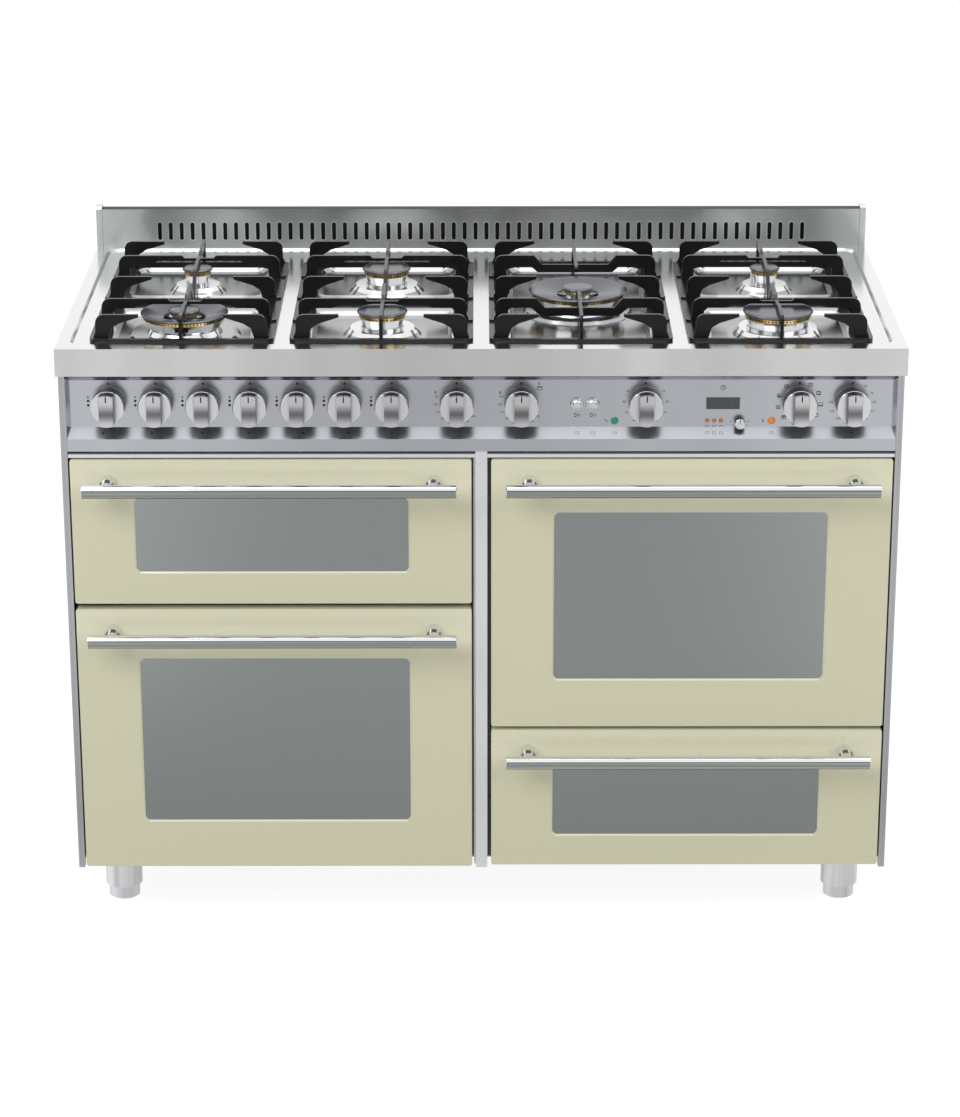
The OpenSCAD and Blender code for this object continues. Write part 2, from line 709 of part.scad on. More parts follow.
module knob_clock() {
    front = panel_face_d - knob_gap - clock_knob_t;
    r = clock_knob_d / 2;
    color(CHROME) difference() {
        union() {
            along_y(clock_knob_x, clock_knob_z, front + 1, panel_face_d - knob_gap, r);
            cone_y(clock_knob_x, clock_knob_z, front, front + 1, r - 1, r);
        }
        along_y(clock_knob_x, clock_knob_z, front + 3, panel_face_d, 2 + running);
        block(clock_knob_x - 0.5, clock_knob_x + 0.5, front - cut, front + 0.6, clock_knob_z + 1,
            clock_knob_z + r + cut);
    }
}

// Domed button that slides in its bezel
module push_button(x) {
    r = bezel_d / 2 - 3;
    front = panel_face_d - 5;
    color(CHROME) {
        along_y(x, button_z, front, panel_face_d + 14, r);
        cone_y(x, button_z, front - 1.2, front, r - 1.6, r);
    }
}

// Switch bodies behind the panel, their spindles, and the bezels and shells of the two buttons
module control_switches() {
    back = panel_face_d + sheet_t;
    color(DARK) for (x = [timer_knob_x, selector_knob_x, thermostat_knob_x]) {
        block(x - 22, x + 22, back, back + 30, knob_z - 22, knob_z + 22);
        along_y(x, knob_z, panel_face_d - skirt_t + 4, back, spindle_d / 2);
    }
    color(DARK) {
        block(clock_knob_x - 12, clock_knob_x + 12, back, back + 24, clock_knob_z - 6, clock_knob_z + 14);
        along_y(clock_knob_x, clock_knob_z, panel_face_d - knob_gap - clock_knob_t + 4, back, 2);
    }
    color(CHROME) for (x = [light_button_x, ignition_button_x]) difference() {
        union() {
            cone_y(x, button_z, panel_face_d - 3, panel_face_d - 1.5, bezel_d / 2 - 1.2, bezel_d / 2);
            along_y(x, button_z, panel_face_d - 1.5, panel_face_d, bezel_d / 2);
            along_y(x, button_z, panel_face_d, back + 24, bezel_d / 2 - 1.5);
        }
        along_y(x, button_z, panel_face_d - 3 - cut, back + 22, bezel_d / 2 - 3 + running);
    }
}

// ---------------------------------------------------------------- gas

// Manifold with its taps and spindles, the feed tubes of the burners, the gas oven's burner and the inlet
module gas_train() {
    back = panel_face_d + sheet_t;
    taps = concat([for (i = [0:gas_knob_n - 1]) gas_knob_x(i)], [gas_oven_knob_x, grill_knob_x]);
    color("#b08a4a") {
        for (x = taps) {
            along_y(x, knob_z, back, back + tap_l, tap_d / 2);
            along_y(x, knob_z, panel_face_d - skirt_t + 4, back, spindle_d / 2);
        }
        along_x(gas_knob_x0 - 20, inlet_x + 14, manifold_d, knob_z, manifold_r);
        along_y(inlet_x, knob_z, manifold_d, back_d + back_t + fit, pipe_r);
        along_y(inlet_x, knob_z, back_d + back_t + fit, back_d + back_t + fit + inlet_l, inlet_r);
    }
    color("#9a9ca0") for (b = BURNERS) burner_tube(b);
    oven_burner_tube();
}

// Feed tube: up from its tap, level at its own height, up into its burner
module burner_tube(b) {
    tap = [gas_knob_x(b[5]), y(panel_face_d + sheet_t + 30)];
    level = tube_z0 + tube_step * b[4];
    cup = [b[0], y(b[1])];
    rod([tap[0], tap[1], knob_z], [tap[0], tap[1], level], tube_r);
    rod([tap[0], tap[1], level], [cup[0], cup[1], level], tube_r);
    rod([cup[0], cup[1], level], [cup[0], cup[1], cup_z], tube_r);
    for (p = [tap, cup]) translate([p[0], p[1], level]) sphere(tube_r + 0.5, $fn = 32);
}

// Burner tube under the gas oven's floor, fed from the rear
module oven_burner_tube() {
    z = mouth_z0(GAS) + 14;
    color("#9a9ca0") difference() {
        union() {
            along_y(GAS[0], z, rack_front_d + 40, cavity_d1 - fit, 9);
        }
        for (d = [rack_front_d + 60:24:cavity_d1 - 30]) along_x(GAS[0] - 12, GAS[0] + 12, d, z, 1.5);
    }
}

module rear_electrics() {
    motor_d0 = cavity_d1 + cavity_t;
    color(DARK) difference() {
        union() {
            along_y(fan_x, fan_z, motor_d0, motor_d0 + 8, 20);
            along_y(fan_x, fan_z, motor_d0 + 8, back_d - 14, 34);
        }
        along_y(fan_x, fan_z, motor_d0 - cut, motor_d0 + 40, fan_shaft_r + running);
    }
    color(DARK) block(gland_x - 40, gland_x + 40, back_d - 45, back_d, gland_z - 30, gland_z + 30);
    // Cable gland through the back panel
    color("#3a3a3a") difference() {
        along_y(gland_x, gland_z, back_d, back_d + back_t + 12, gland_r + 3);
        along_y(gland_x, gland_z, back_d + back_t, back_d + back_t + 12 + cut, gland_r);
    }
}

// ---------------------------------------------------------------- ovens

// Enamelled cavity: five walls, a flange behind the front frame, and a lamp at the back
module cavity(oven) {
    half = cavity_w / 2;
    z0 = mouth_z0(oven);
    z1 = mouth_z1(oven);
    color(ENAMEL) difference() {
        union() {
            block(oven[0] - half - cavity_t, oven[0] + half + cavity_t, cavity_d0, cavity_d1 + cavity_t,
                z0 - cavity_t, z1 + cavity_t);
            block(oven[0] - half - 8, oven[0] + half + 8, cavity_d0, cavity_d0 + 1.5, z0 - 8, z1 + 8);
        }
        block(oven[0] - half, oven[0] + half, cavity_d0 - cut, cavity_d1, z0, z1);
        if (oven == ELECTRIC) along_y(fan_x, fan_z, cavity_d1 - cut, cavity_d1 + cavity_t + cut, 7);
    }
    lamp_x = oven[0] - half + 45;
    color(CHROME) along_y(lamp_x, z1 - 45, cavity_d1 - 6, cavity_d1, 21);
    color("#f2e6c0") cone_y(lamp_x, z1 - 45, cavity_d1 - 20, cavity_d1 - 6, 10, 17);
}

module grill_cavity() {
    cavity(GRILL);
}

module gas_oven_cavity() {
    cavity(GAS);
    // Loose floor plate over the burner tube, on its two side ribs
    half = cavity_w / 2;
    z = mouth_z0(GAS) + 27;
    color(ENAMEL) difference() {
        block(GAS[0] - half, GAS[0] + half, cavity_d0 + 20, cavity_d1, z, z + 1.5);
        for (i = [-4:4]) upright_slot(GAS[0] + i * 44, z);
    }
}

// Row of round flue holes in the gas oven's floor plate
module upright_slot(x, z) {
    for (d = [cavity_d0 + 60, cavity_d1 - 40]) translate([x, y(d), z - cut]) cylinder(h = 4, r = 6, $fn = 24);
}

module electric_oven_cavity() {
    cavity(ELECTRIC);
}

module oven_racks() {
    oven_rack(GRILL, grill_rack_rise, 0, 0);
    oven_rack(GAS, gas_rack_rise, 0, 3);
    oven_rack(ELECTRIC, electric_rack_rise, 1, 2);
}

// One wire rack on its runners, which hang on both side walls, with more runner levels below and above it
module oven_rack(oven, rise, below, above) {
    x = oven[0];
    z = mouth_z0(oven) + rise;
    r = rack_rod_d / 2;
    runner_r = 2.5;
    runner_x = cavity_w / 2 - runner_r - fit;
    half = runner_x - runner_r - fit - r;
    n = 15;
    color(CHROME) {
        for (s = [-1, 1]) along_y(x + s * half, z, rack_front_d, rack_front_d + rack_l, r);
        for (d = [rack_front_d, rack_front_d + rack_l]) along_x(x - half, x + half, d, z, r);
        for (sx = [-1, 1], d = [rack_front_d, rack_front_d + rack_l])
            translate([x + sx * half, y(d), z]) sphere(r);
        for (i = [1:n]) along_y(x - half + 2 * half * i / (n + 1), z, rack_front_d, rack_front_d + rack_l,
            rack_wire_d / 2);
        along_x(x - half, x + half, rack_front_d + rack_l / 2, z - r, rack_wire_d / 2);
        drop = r + runner_r + fit;
        for (s = [-1, 1], i = [-below:above]) {
            low = z - drop + i * runner_levels;
            for (rod_z = [low, low + 14]) along_y(x + s * runner_x, rod_z, rack_front_d + 6,
                rack_front_d + rack_l + 8, runner_r);
        }
        top = z - drop + above * runner_levels + 14;
        bottom = z - drop - below * runner_levels;
        for (s = [-1, 1], d = [rack_front_d + 6, rack_front_d + rack_l + 8])
            translate([x + s * runner_x, y(d), bottom - 8]) cylinder(h = top - bottom + 16, r = runner_r);
    }
}

// Flat gasket round one oven mouth
module oven_seals() {
    color("#8a8a86") for (oven = OVENS) {
        half = cavity_w / 2 + seal_gap;
        z0 = mouth_z0(oven) - seal_gap;
        z1 = mouth_z1(oven) + seal_gap;
        difference() {
            block(oven[0] - half - seal_w, oven[0] + half + seal_w, frame_d - seal_t, frame_d, z0 - seal_w,
                z1 + seal_w);
            block(oven[0] - half, oven[0] + half, frame_d - seal_t - cut, frame_d + cut, z0, z1);
        }
    }
}

// Roof elements of the grill oven and the electric oven, and the ring round the fan
module heating_elements() {
    color("#5a5550") {
        roof_element(GRILL);
        roof_element(ELECTRIC);
        translate([fan_x, y(cavity_d1 - 16), fan_z]) rotate([90, 0, 0])
            rotate_extrude() translate([fan_r + 14, 0]) circle(3.3, $fn = 24);
        for (s = [-1, 1]) along_y(fan_x + s * 12, fan_z + sqrt(pow(fan_r + 14, 2) - 144), cavity_d1 - 16,
            cavity_d1, 3.3);
    }
}

// Zigzag rod under a cavity's roof, with its two ends in the rear wall
module roof_element(oven) {
    r = 3.5;
    runs = 6;
    pitch = 60;
    z = mouth_z1(oven) - 18;
    front = cavity_d0 + 40;
    rear = cavity_d1 - 60;
    function run_x(i) = oven[0] + (i - (runs - 1) / 2) * pitch;
    for (i = [0:runs - 1]) {
        outer = i == 0 || i == runs - 1;
        along_y(run_x(i), z, front, outer ? cavity_d1 : rear, r);
        if (i < runs - 1) {
            d = i % 2 == 0 ? front : rear;
            along_x(run_x(i), run_x(i + 1), d, z, r);
            for (x = [run_x(i), run_x(i + 1)]) translate([x, y(d), z]) sphere(r + 0.5, $fn = 32);
        }
    }
}

module fan_cover() {
    half = 125;
    posts = 110;
    side_x = 108;
    side_w = 16;
    side_pitch = 24;
    color(ENAMEL) {
        difference() {
            block(fan_x - half, fan_x + half, fan_cover_d, fan_cover_d + 1.5, fan_z - half, fan_z + half);
            for (ring = [[16, 6], [32, 12], [48, 18]], i = [0:ring[1] - 1]) {
                a = 360 * i / ring[1];
                along_y(fan_x + ring[0] * cos(a), fan_z + ring[0] * sin(a), fan_cover_d - cut,
                    fan_cover_d + 2.5, 5);
            }
            for (s = [-1, 1], k = [-3:3]) block(fan_x + s * side_x - side_w / 2, fan_x + s * side_x + side_w / 2,
                fan_cover_d - cut, fan_cover_d + 2.5, fan_z + k * side_pitch - 2.5, fan_z + k * side_pitch + 2.5);
        }
        for (sx = [-1, 1], sz = [-1, 1]) along_y(fan_x + sx * posts, fan_z + sz * posts, fan_cover_d + 1.5,
            cavity_d1, 4);
    }
}

// Radial fan: back disc, eight blades, hub and shaft
module fan_blade() {
    disc_d = cavity_d1 - 9;
    color(BRUSHED) {
        along_y(fan_x, fan_z, disc_d, disc_d + 1.5, fan_r);
        along_y(fan_x, fan_z, disc_d - 18, disc_d, 12);
        along_y(fan_x, fan_z, disc_d - 18, cavity_d1 + cavity_t + 34, fan_shaft_r);
        translate([fan_x, y(disc_d), fan_z]) rotate([90, 0, 0]) for (i = [0:7]) rotate(45 * i)
            translate([38, -0.8, 0]) rotate(20) cube([32, 1.6, 20]);
    }
}

// ---------------------------------------------------------------- doors and drawer

// Enamelled outer panel: a tray with a bevelled window opening, open at the back
module door_panel(door, hinged) {
    w = door_w;
    h = door[2] - door[1];
    mid_z = (door[1] + door[2]) / 2;
    win_z = door[1] + door[4] + door[3] / 2;
    r = 4;
    color(CREAM) difference() {
        union() {
            upright(door[0], mid_z, face_d + 1, face_d + panel_t) round_rect(w, h, r);
            upright(door[0], mid_z, face_d, face_d + 1) round_rect(w - 1.6, h - 1.6, r - 0.8);
        }
        upright(door[0], mid_z, face_d + enamel_t, face_d + panel_t + cut)
            round_rect(w - 2 * enamel_t, h - 2 * enamel_t, r - 1);
        upright(door[0], win_z, face_d - cut, face_d + enamel_t + cut) round_rect(window_w, door[3], 8);
        // Bevel round the window opening
        translate([door[0], y(face_d + 1.6), win_z]) rotate([90, 0, 0])
            linear_extrude(1.7, slices = 1, scale = [(window_w + 5) / window_w, (door[3] + 5) / door[3]])
                round_rect(window_w, door[3], 8);
        if (hinged) for (s = [-1, 1]) hinge_slot(door[0] + s * hinge_x, door[1]);
    }
}

// Room for a hinge arm at a door's lower rear edge
module hinge_slot(x, z) {
    half = hinge_slot_t / 2;
    reach = hinge_pin_d / 2 + 3 + 1;
    block(x - half, x + half, pivot_d - reach, frame_d, z - cut, z + pivot_rise + reach);
}

// Outer and inner pane
module door_glass(door) {
    win_z = door[1] + door[4] + door[3] / 2;
    back = face_d + panel_t + liner_t;
    color("#8f9690") {
        upright(door[0], win_z, face_d + enamel_t, face_d + enamel_t + pane_t)
            round_rect(window_w + 24, door[3] + 24, 8);
        upright(door[0], win_z, back - 1.5 - pane_t, back - 1.5) round_rect(window_w + 10, door[3] + 10, 8);
    }
}

// Inner tray with its window opening, and the lugs that carry the hinge pins
module door_liner(door, hinged) {
    w = door_w - 3;
    h = door[2] - door[1] - 3;
    mid_z = (door[1] + door[2]) / 2;
    win_z = door[1] + door[4] + door[3] / 2;
    front = face_d + panel_t;
    back = front + liner_t;
    color(BRUSHED) difference() {
        union() {
            difference() {
                upright(door[0], mid_z, front, back) round_rect(w, h, 4);
                upright(door[0], mid_z, front - cut, back - 1.5) round_rect(w - 3, h - 3, 3);
                upright(door[0], win_z, back - 1.5 - cut, back + cut)
                    round_rect(window_w - 20, door[3] - 20, 8);
            }
            if (hinged) for (s = [-1, 1]) hinge_lugs(door[0] + s * hinge_x, door[1] + pivot_rise);
        }
        if (hinged) for (s = [-1, 1]) {
            hinge_slot(door[0] + s * hinge_x, door[1]);
            along_x(door[0] + s * hinge_x - 30, door[0] + s * hinge_x + 30, pivot_d, door[1] + pivot_rise,
                hinge_pin_d / 2 + running);
        }
    }
}

module hinge_lugs(x, z) {
    half = hinge_slot_t / 2 + hinge_lug_t;
    reach = 7;
    block(x - half, x + half, pivot_d - reach, face_d + panel_t + liner_t - 1, z - reach, z + reach + 6);
}

// Chrome bar on two posts
module door_handle(door) {
    z = door[2] - bar_drop;
    d = face_d - bar_reach;
    color(CHROME) {
        along_x(door[0] - bar_l / 2 + 1, door[0] + bar_l / 2 - 1, d, z, bar_d / 2);
        for (s = [-1, 1]) {
            translate([door[0] + s * (bar_l / 2 - 1), y(d), z]) rotate([0, s * 90, 0])
                cylinder(h = 1, r1 = bar_d / 2, r2 = bar_d / 2 - 1);
            along_y(door[0] + s * post_pitch / 2, z, d, face_d, post_d / 2 - 2.5);
            along_y(door[0] + s * post_pitch / 2, z, face_d - bar_reach / 2, face_d, post_d / 2);
        }
    }
}

// Pane of the drawer front
module drawer_glass() {
    win_z = DRAWER[1] + DRAWER[4] + DRAWER[3] / 2;
    color("#8f9690") upright(DRAWER[0], win_z, face_d + enamel_t, face_d + enamel_t + pane_t)
        round_rect(window_w + 24, DRAWER[3] + 24, 8);
}

// Drawer box of spot-welded sheets, its sliding rails and the back plate of the drawer front
module drawer_box() {
    x = DRAWER[0];
    half = drawer_w / 2;
    inner = half - drawer_t - seam;
    plate_half = door_w / 2 - 2;
    plate_d = face_d + panel_t;
    d0 = plate_d + drawer_t + seam;
    d1 = plate_d + drawer_d;
    z0 = drawer_box_z0;
    z1 = z0 + drawer_h;
    rail_z0 = drawer_runner_z - 7;
    rail_reach = 6;                      // from the box's side to the rail's outer face
    rim_t = 2;
    color(BRUSHED) {
        // Bottom and back
        block(x - inner, x + inner, d0, d1 - drawer_t - seam, z0, z0 + drawer_t);
        block(x - inner, x + inner, d1 - drawer_t, d1, z0, z1);
        // Sides and their rails
        for (s = [-1, 1]) {
            side = x + s * (half - drawer_t / 2);
            rail = x + s * (half + (rail_reach + seam) / 2);
            rail_half = (rail_reach - seam) / 2;
            block(side - drawer_t / 2, side + drawer_t / 2, d0, d1, z0, z1);
            block(rail - rail_half, rail + rail_half, frame_d + 5, d1, rail_z0, rail_z0 + 14);
        }
        // Back plate, and the stiffening rim of four strips behind its edge
        block(x - plate_half, x + plate_half, plate_d, plate_d + drawer_t, DRAWER[1] + 2, DRAWER[2] - 2);
        for (s = [-1, 1]) {
            strip = x + s * (plate_half - rim_t / 2);
            block(strip - rim_t / 2, strip + rim_t / 2, d0, plate_d + liner_t, DRAWER[1] + 2, DRAWER[2] - 2);
        }
        for (z = [DRAWER[1] + 2, DRAWER[2] - 2 - rim_t])
            block(x - plate_half + rim_t + seam, x + plate_half - rim_t - seam, d0, plate_d + liner_t, z, z + rim_t);
    }
}

// Fixed rails on their brackets, standing on the base plate
module drawer_runners() {
    x = DRAWER[0];
    half = drawer_w / 2;
    rail_z0 = drawer_runner_z - 7;
    color(STEEL) for (s = [0, 1]) translate([x, 0, 0]) mirror([s, 0, 0]) {
        difference() {
            block(half + 1, half + 9, cavity_d0, cavity_d0 + drawer_d - 20, rail_z0 - 2.5, rail_z0 + 16.5);
            block(half, half + 7, cavity_d0 - cut, cavity_d0 + drawer_d, rail_z0 - 0.5, rail_z0 + 14.5);
        }
        for (d = [cavity_d0 + 30, cavity_d0 + drawer_d - 80])
            block(half + 9, half + 11, d, d + 40, plinth_z + 2, rail_z0 + 12);
    }
}

// ---------------------------------------------------------------- burners

module burner_bodies() {
    for (b = BURNERS) translate([b[0], y(b[1]), 0]) {
        r = outer_r(b);
        color("#c9cbcd") {
            translate([0, 0, cup_z]) cylinder(h = collar_z - cup_z, r = cup_r(b));
            translate([0, 0, collar_z]) cylinder(h = 3, r = is_triple(b) ? 44 : r - 5);
            if (is_triple(b)) {
                triple_body(r);
            } else {
                translate([0, 0, collar_z + 3]) faceted_cone(body_top_z - collar_z - 3, r - 7, r - 3);
            }
        }
        // Spark electrode
        stand_z = is_triple(b) ? dais_z : collar_z;
        color("white") rotate(135) translate([r + 2, 0, stand_z]) cylinder(h = body_top_z - stand_z, r = 2.2);
    }
}

// Outer ring and centre post of a triple-ring burner, joined by three arms
module triple_body(r) {
    translate([0, 0, collar_z + 4]) difference() {
        faceted_cone(body_top_z - collar_z - 4, r - 9, r - 4);
        translate([0, 0, -cut]) cylinder(h = body_top_z, r = r - 18);
    }
    for (a = [30, 150, 270]) rotate(a) translate([0, -6, collar_z]) cube([r - 12, 12, 9]);
    cylinder_at(collar_z, small_r - 5, body_top_z - collar_z + 3);
}

module cylinder_at(z, r, h) {
    translate([0, 0, z]) cylinder(h = h, r = r);
}

// Flared body with flat facets round it
module faceted_cone(h, r0, r1) {
    linear_extrude(h, slices = 1, scale = r1 / r0) circle(r0, $fn = 18);
}

// Brass flame rings
module burner_rings() {
    color("#c79a3e") for (b = BURNERS) translate([b[0], y(b[1]), 0]) {
        r = outer_r(b);
        if (is_triple(b)) {
            difference() {
                cylinder_at(body_top_z, r - 2.5, ring_t - 1);
                cylinder_at(body_top_z - cut, r - 16, ring_t + 2);
            }
            cylinder_at(body_top_z + 3, small_r - 2.5, 3.5);
        } else {
            cylinder_at(body_top_z, r - 2.5, ring_t);
        }
    }
}

module burner_caps() {
    color(DARK) for (b = BURNERS) translate([b[0], y(b[1]), 0]) {
        if (is_triple(b)) {
            ring_cap(b[3]);
            disc_cap(b[2], body_top_z + 6.5);
        } else {
            disc_cap(b[2], body_top_z + ring_t);
        }
    }
}

// Flat cap with a bevelled edge
module disc_cap(r, z) {
    translate([0, 0, z]) rotate_extrude() polygon([[0, 0], [r - 2, 0], [r, 1.6], [r, 3], [r - 1.6,
        burner_cap_t - 0.4], [r - 4, burner_cap_t], [0, burner_cap_t]]);
}

// Dished ring of a triple-ring burner
module ring_cap(r) {
    z = body_top_z + ring_t - 1;
    bore = small_r + 7.5;
    translate([0, 0, z]) rotate_extrude() polygon([[r - 14, 0], [r - 1.5, 0], [r, 1.2], [r, 2.6], [r - 1.4, 3.8],
        [r - 4, 3.4], [bore + 2, -3.6], [bore, -4.6], [bore, -6], [bore + 2, -6.6], [r - 17, -2.2], [r - 16.4, 0]]);
}

// ---------------------------------------------------------------- pan supports

function reversed(list) = [for (i = [len(list) - 1:-1:0]) list[i]];

// Outer edge of a cast plate's half, from its foot on the frame up round its top corner
function leg(r, tall) = concat(
    [[support_w / 2 - rail_w + 1, 0], [support_w / 2 - rail_w + 3, rail_h - 1], [support_w / 2 - 9, tall * 0.4]],
    arc(support_w / 2 - 9 - r, tall - r, r, 0, 90)
);

function full_plate_half(tall) = concat([[0, tall - hub_drop], [22, tall - hub_drop], [26, tall]],
    reversed(leg(12, tall)),
    [[support_w / 2 - 25, 0], [support_w / 2 - 26, tall - plate_web - 5],
        [support_w / 2 - 31, tall - plate_web], [72, tall - plate_web], [62, tall - hub_clear],
        [0, tall - hub_clear]]);

function wok_plate_half(tall) = concat([[0, tall - 14], [50, tall - 14], [62, tall]],
    reversed(leg(12, tall)),
    [[support_w / 2 - 25, 0], [support_w / 2 - 26, tall - plate_web - 5],
        [support_w / 2 - 31, tall - plate_web], [70, tall - plate_web], [56, tall - 26], [0, tall - 26]]);

function finger_half(tall) = concat([[finger_tip, tall]],
    reversed(leg(12, tall)),
    [[support_w / 2 - 25, 0], [support_w / 2 - 31, tall - 20], [support_w / 2 - 42, tall - 13],
        [finger_tip, tall - 4]]);

// A plate across the support, both halves
module cross_plate(half_points) {
    for (s = [0, 1]) mirror([s, 0, 0]) rotate([90, 0, 0]) translate([0, 0, -plate_t / 2])
        linear_extrude(plate_t) polygon(half_points);
}

// Foot and top corner shared by the bars along the middle line; distances run from the support's middle
function bar_foot(tall) = let (front = support_d / 2)
    [[-front + 14, tall - hub_clear + 0.5], [-front + 7, tall - 13], [-front + 6, 0], [-front + 0.5, 0],
        [-front + 0.5, tall - 4], [-front + 4, tall]];

// Front finger along the middle line, for the wok burner
module long_finger(tip, tall) {
    long_plate(concat(bar_foot(tall), [[-tip - 2, tall], [-tip, tall - 3], [-tip - 2, tall - hub_clear + 0.5]]));
}

// Bar along the middle line: a finger over the burner, a dip at the full plate, down to the middle rail
module long_bar(tall) {
    long_plate(concat(bar_foot(tall),
        [[-154, tall], [-148, tall - hub_drop], [-112, tall - hub_drop], [-106, tall], [-40, tall],
            [-36, tall - 2], [-6, rail_h], [-6, 0], [-14, 0], [-42, tall - hub_clear - 4],
            [-50, tall - hub_clear + 0.5], [-112, tall - hub_clear + 0.5], [-114, tall - hub_clear],
            [-134, tall - hub_clear], [-136, tall - hub_clear + 0.5]]));
}

module long_plate(points) {
    rotate([90, 0, 90]) translate([0, 0, -plate_t / 2]) linear_extrude(plate_t) polygon(points);
}

module support_frame() {
    difference() {
        linear_extrude(rail_h) round_rect(support_w, support_d, 14);
        translate([0, 0, -cut]) linear_extrude(rail_h + 2 * cut)
            round_rect(support_w - 2 * rail_w, support_d - 2 * rail_w, 8);
    }
    // Round pads where the plates stand on the frame
    for (sx = [-1, 1], row = [-plate_row, 0, plate_row])
        translate([sx * (support_w / 2 - 5), row, 0]) cylinder(h = rail_h + 3, r = 5);
}

// One pan support; index 0 is the left-hand one, and index 2 spans the wok burner
module pan_support(index) {
    tall = support_z - rail_z;
    wok = index == 2;
    color(DARK) translate([(index - 1.5) * support_pitch, y(support_mid_d), rail_z]) {
        support_frame();
        for (row = [-finger_row, 0, finger_row]) translate([0, row, 0]) cross_plate(finger_half(tall));
        for (row = [-plate_row, plate_row]) translate([0, row, 0])
            cross_plate(wok ? wok_plate_half(tall) : full_plate_half(tall));
        if (wok) {
            long_finger(72, tall);
            rotate(180) long_finger(54, tall);
        } else {
            for (a = [0, 180]) rotate(a) long_bar(tall);
            translate([-support_w / 2 + rail_w / 2, -rail_w / 2, 0]) cube([support_w - rail_w, rail_w, rail_h]);
        }
    }
}

// ---------------------------------------------------------------- parts

hob_top();
upstand();
side_panels();
back_panel();
base_plate();
front_frame();
front_trim();
control_panel();
indicators();
gas_train();
control_switches();
rear_electrics();
feet();
grill_cavity();
gas_oven_cavity();
electric_oven_cavity();
oven_racks();
oven_seals();
heating_elements();
fan_cover();
fan_blade();
burner_bodies();
burner_rings();
burner_caps();
drawer_runners();
door_panel(GRILL, true);  // grill_door_panel
door_glass(GRILL);  // grill_door_glass
door_liner(GRILL, true);  // grill_door_liner
door_handle(GRILL);  // grill_door_handle
door_panel(GAS, true);  // gas_oven_door_panel
door_glass(GAS);  // gas_oven_door_glass
door_liner(GAS, true);  // gas_oven_door_liner
door_handle(GAS);  // gas_oven_door_handle
door_panel(ELECTRIC, true);  // electric_oven_door_panel
door_glass(ELECTRIC);  // electric_oven_door_glass
door_liner(ELECTRIC, true);  // electric_oven_door_liner
door_handle(ELECTRIC);  // electric_oven_door_handle
door_panel(DRAWER, false);  // drawer_front
drawer_glass();
drawer_box();
door_handle(DRAWER);  // drawer_handle
knob(gas_knob_x(0));  // knob_gas_1
knob(gas_knob_x(1));  // knob_gas_2
knob(gas_knob_x(2));  // knob_gas_3
knob(gas_knob_x(3));  // knob_gas_4
knob(gas_knob_x(4));  // knob_gas_5
knob(gas_knob_x(5));  // knob_gas_6
knob(gas_knob_x(6));  // knob_gas_7
knob(gas_oven_knob_x);  // knob_gas_oven
knob(grill_knob_x);  // knob_grill
knob(timer_knob_x);  // knob_timer
knob(selector_knob_x);  // knob_selector
knob(thermostat_knob_x);  // knob_thermostat
knob_clock();
push_button(light_button_x);  // light_button
push_button(ignition_button_x);  // ignition_button
pan_support(0);  // pan_support_1
pan_support(1);  // pan_support_2
pan_support(2);  // pan_support_3
pan_support(3);  // pan_support_4
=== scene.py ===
"""Studio scene of a free-standing range cooker.

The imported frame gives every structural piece. This script gives each of them its finish and adds what is printed
on the control panel, the pressed lips of the flue slots, the electrode tips and the screws of the back panel. Lengths
are metres in the frame's own axes: +X to the right, +Y to the back, +Z up.
"""

import json
import logging
import math
from collections.abc import Callable, Iterable
from dataclasses import dataclass, field, replace
from enum import Enum
from functools import cache

import bmesh
import bpy
from mathutils import Matrix, Vector

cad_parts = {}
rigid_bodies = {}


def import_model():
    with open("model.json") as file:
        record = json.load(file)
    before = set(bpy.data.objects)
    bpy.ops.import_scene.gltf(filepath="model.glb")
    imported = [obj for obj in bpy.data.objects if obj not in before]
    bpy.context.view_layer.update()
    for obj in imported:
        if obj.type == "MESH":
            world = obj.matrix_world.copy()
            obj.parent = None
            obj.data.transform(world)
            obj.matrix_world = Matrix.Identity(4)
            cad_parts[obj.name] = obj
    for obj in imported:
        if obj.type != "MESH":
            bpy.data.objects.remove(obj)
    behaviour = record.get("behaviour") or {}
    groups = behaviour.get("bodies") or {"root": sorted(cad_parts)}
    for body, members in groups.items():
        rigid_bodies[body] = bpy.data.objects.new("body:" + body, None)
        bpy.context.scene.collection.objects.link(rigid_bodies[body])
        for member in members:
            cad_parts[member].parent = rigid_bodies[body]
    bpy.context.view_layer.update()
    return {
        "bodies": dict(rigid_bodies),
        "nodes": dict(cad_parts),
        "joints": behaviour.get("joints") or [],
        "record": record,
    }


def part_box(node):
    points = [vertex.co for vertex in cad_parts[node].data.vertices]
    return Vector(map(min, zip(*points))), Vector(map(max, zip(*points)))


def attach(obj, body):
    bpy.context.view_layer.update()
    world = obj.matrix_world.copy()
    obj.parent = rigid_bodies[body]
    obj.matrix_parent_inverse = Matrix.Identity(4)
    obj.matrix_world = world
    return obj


LOG = logging.getLogger("range_cooker")
MM = 0.001
CABINET = "cabinet"


# ---------------------------------------------------------------- shader nodes


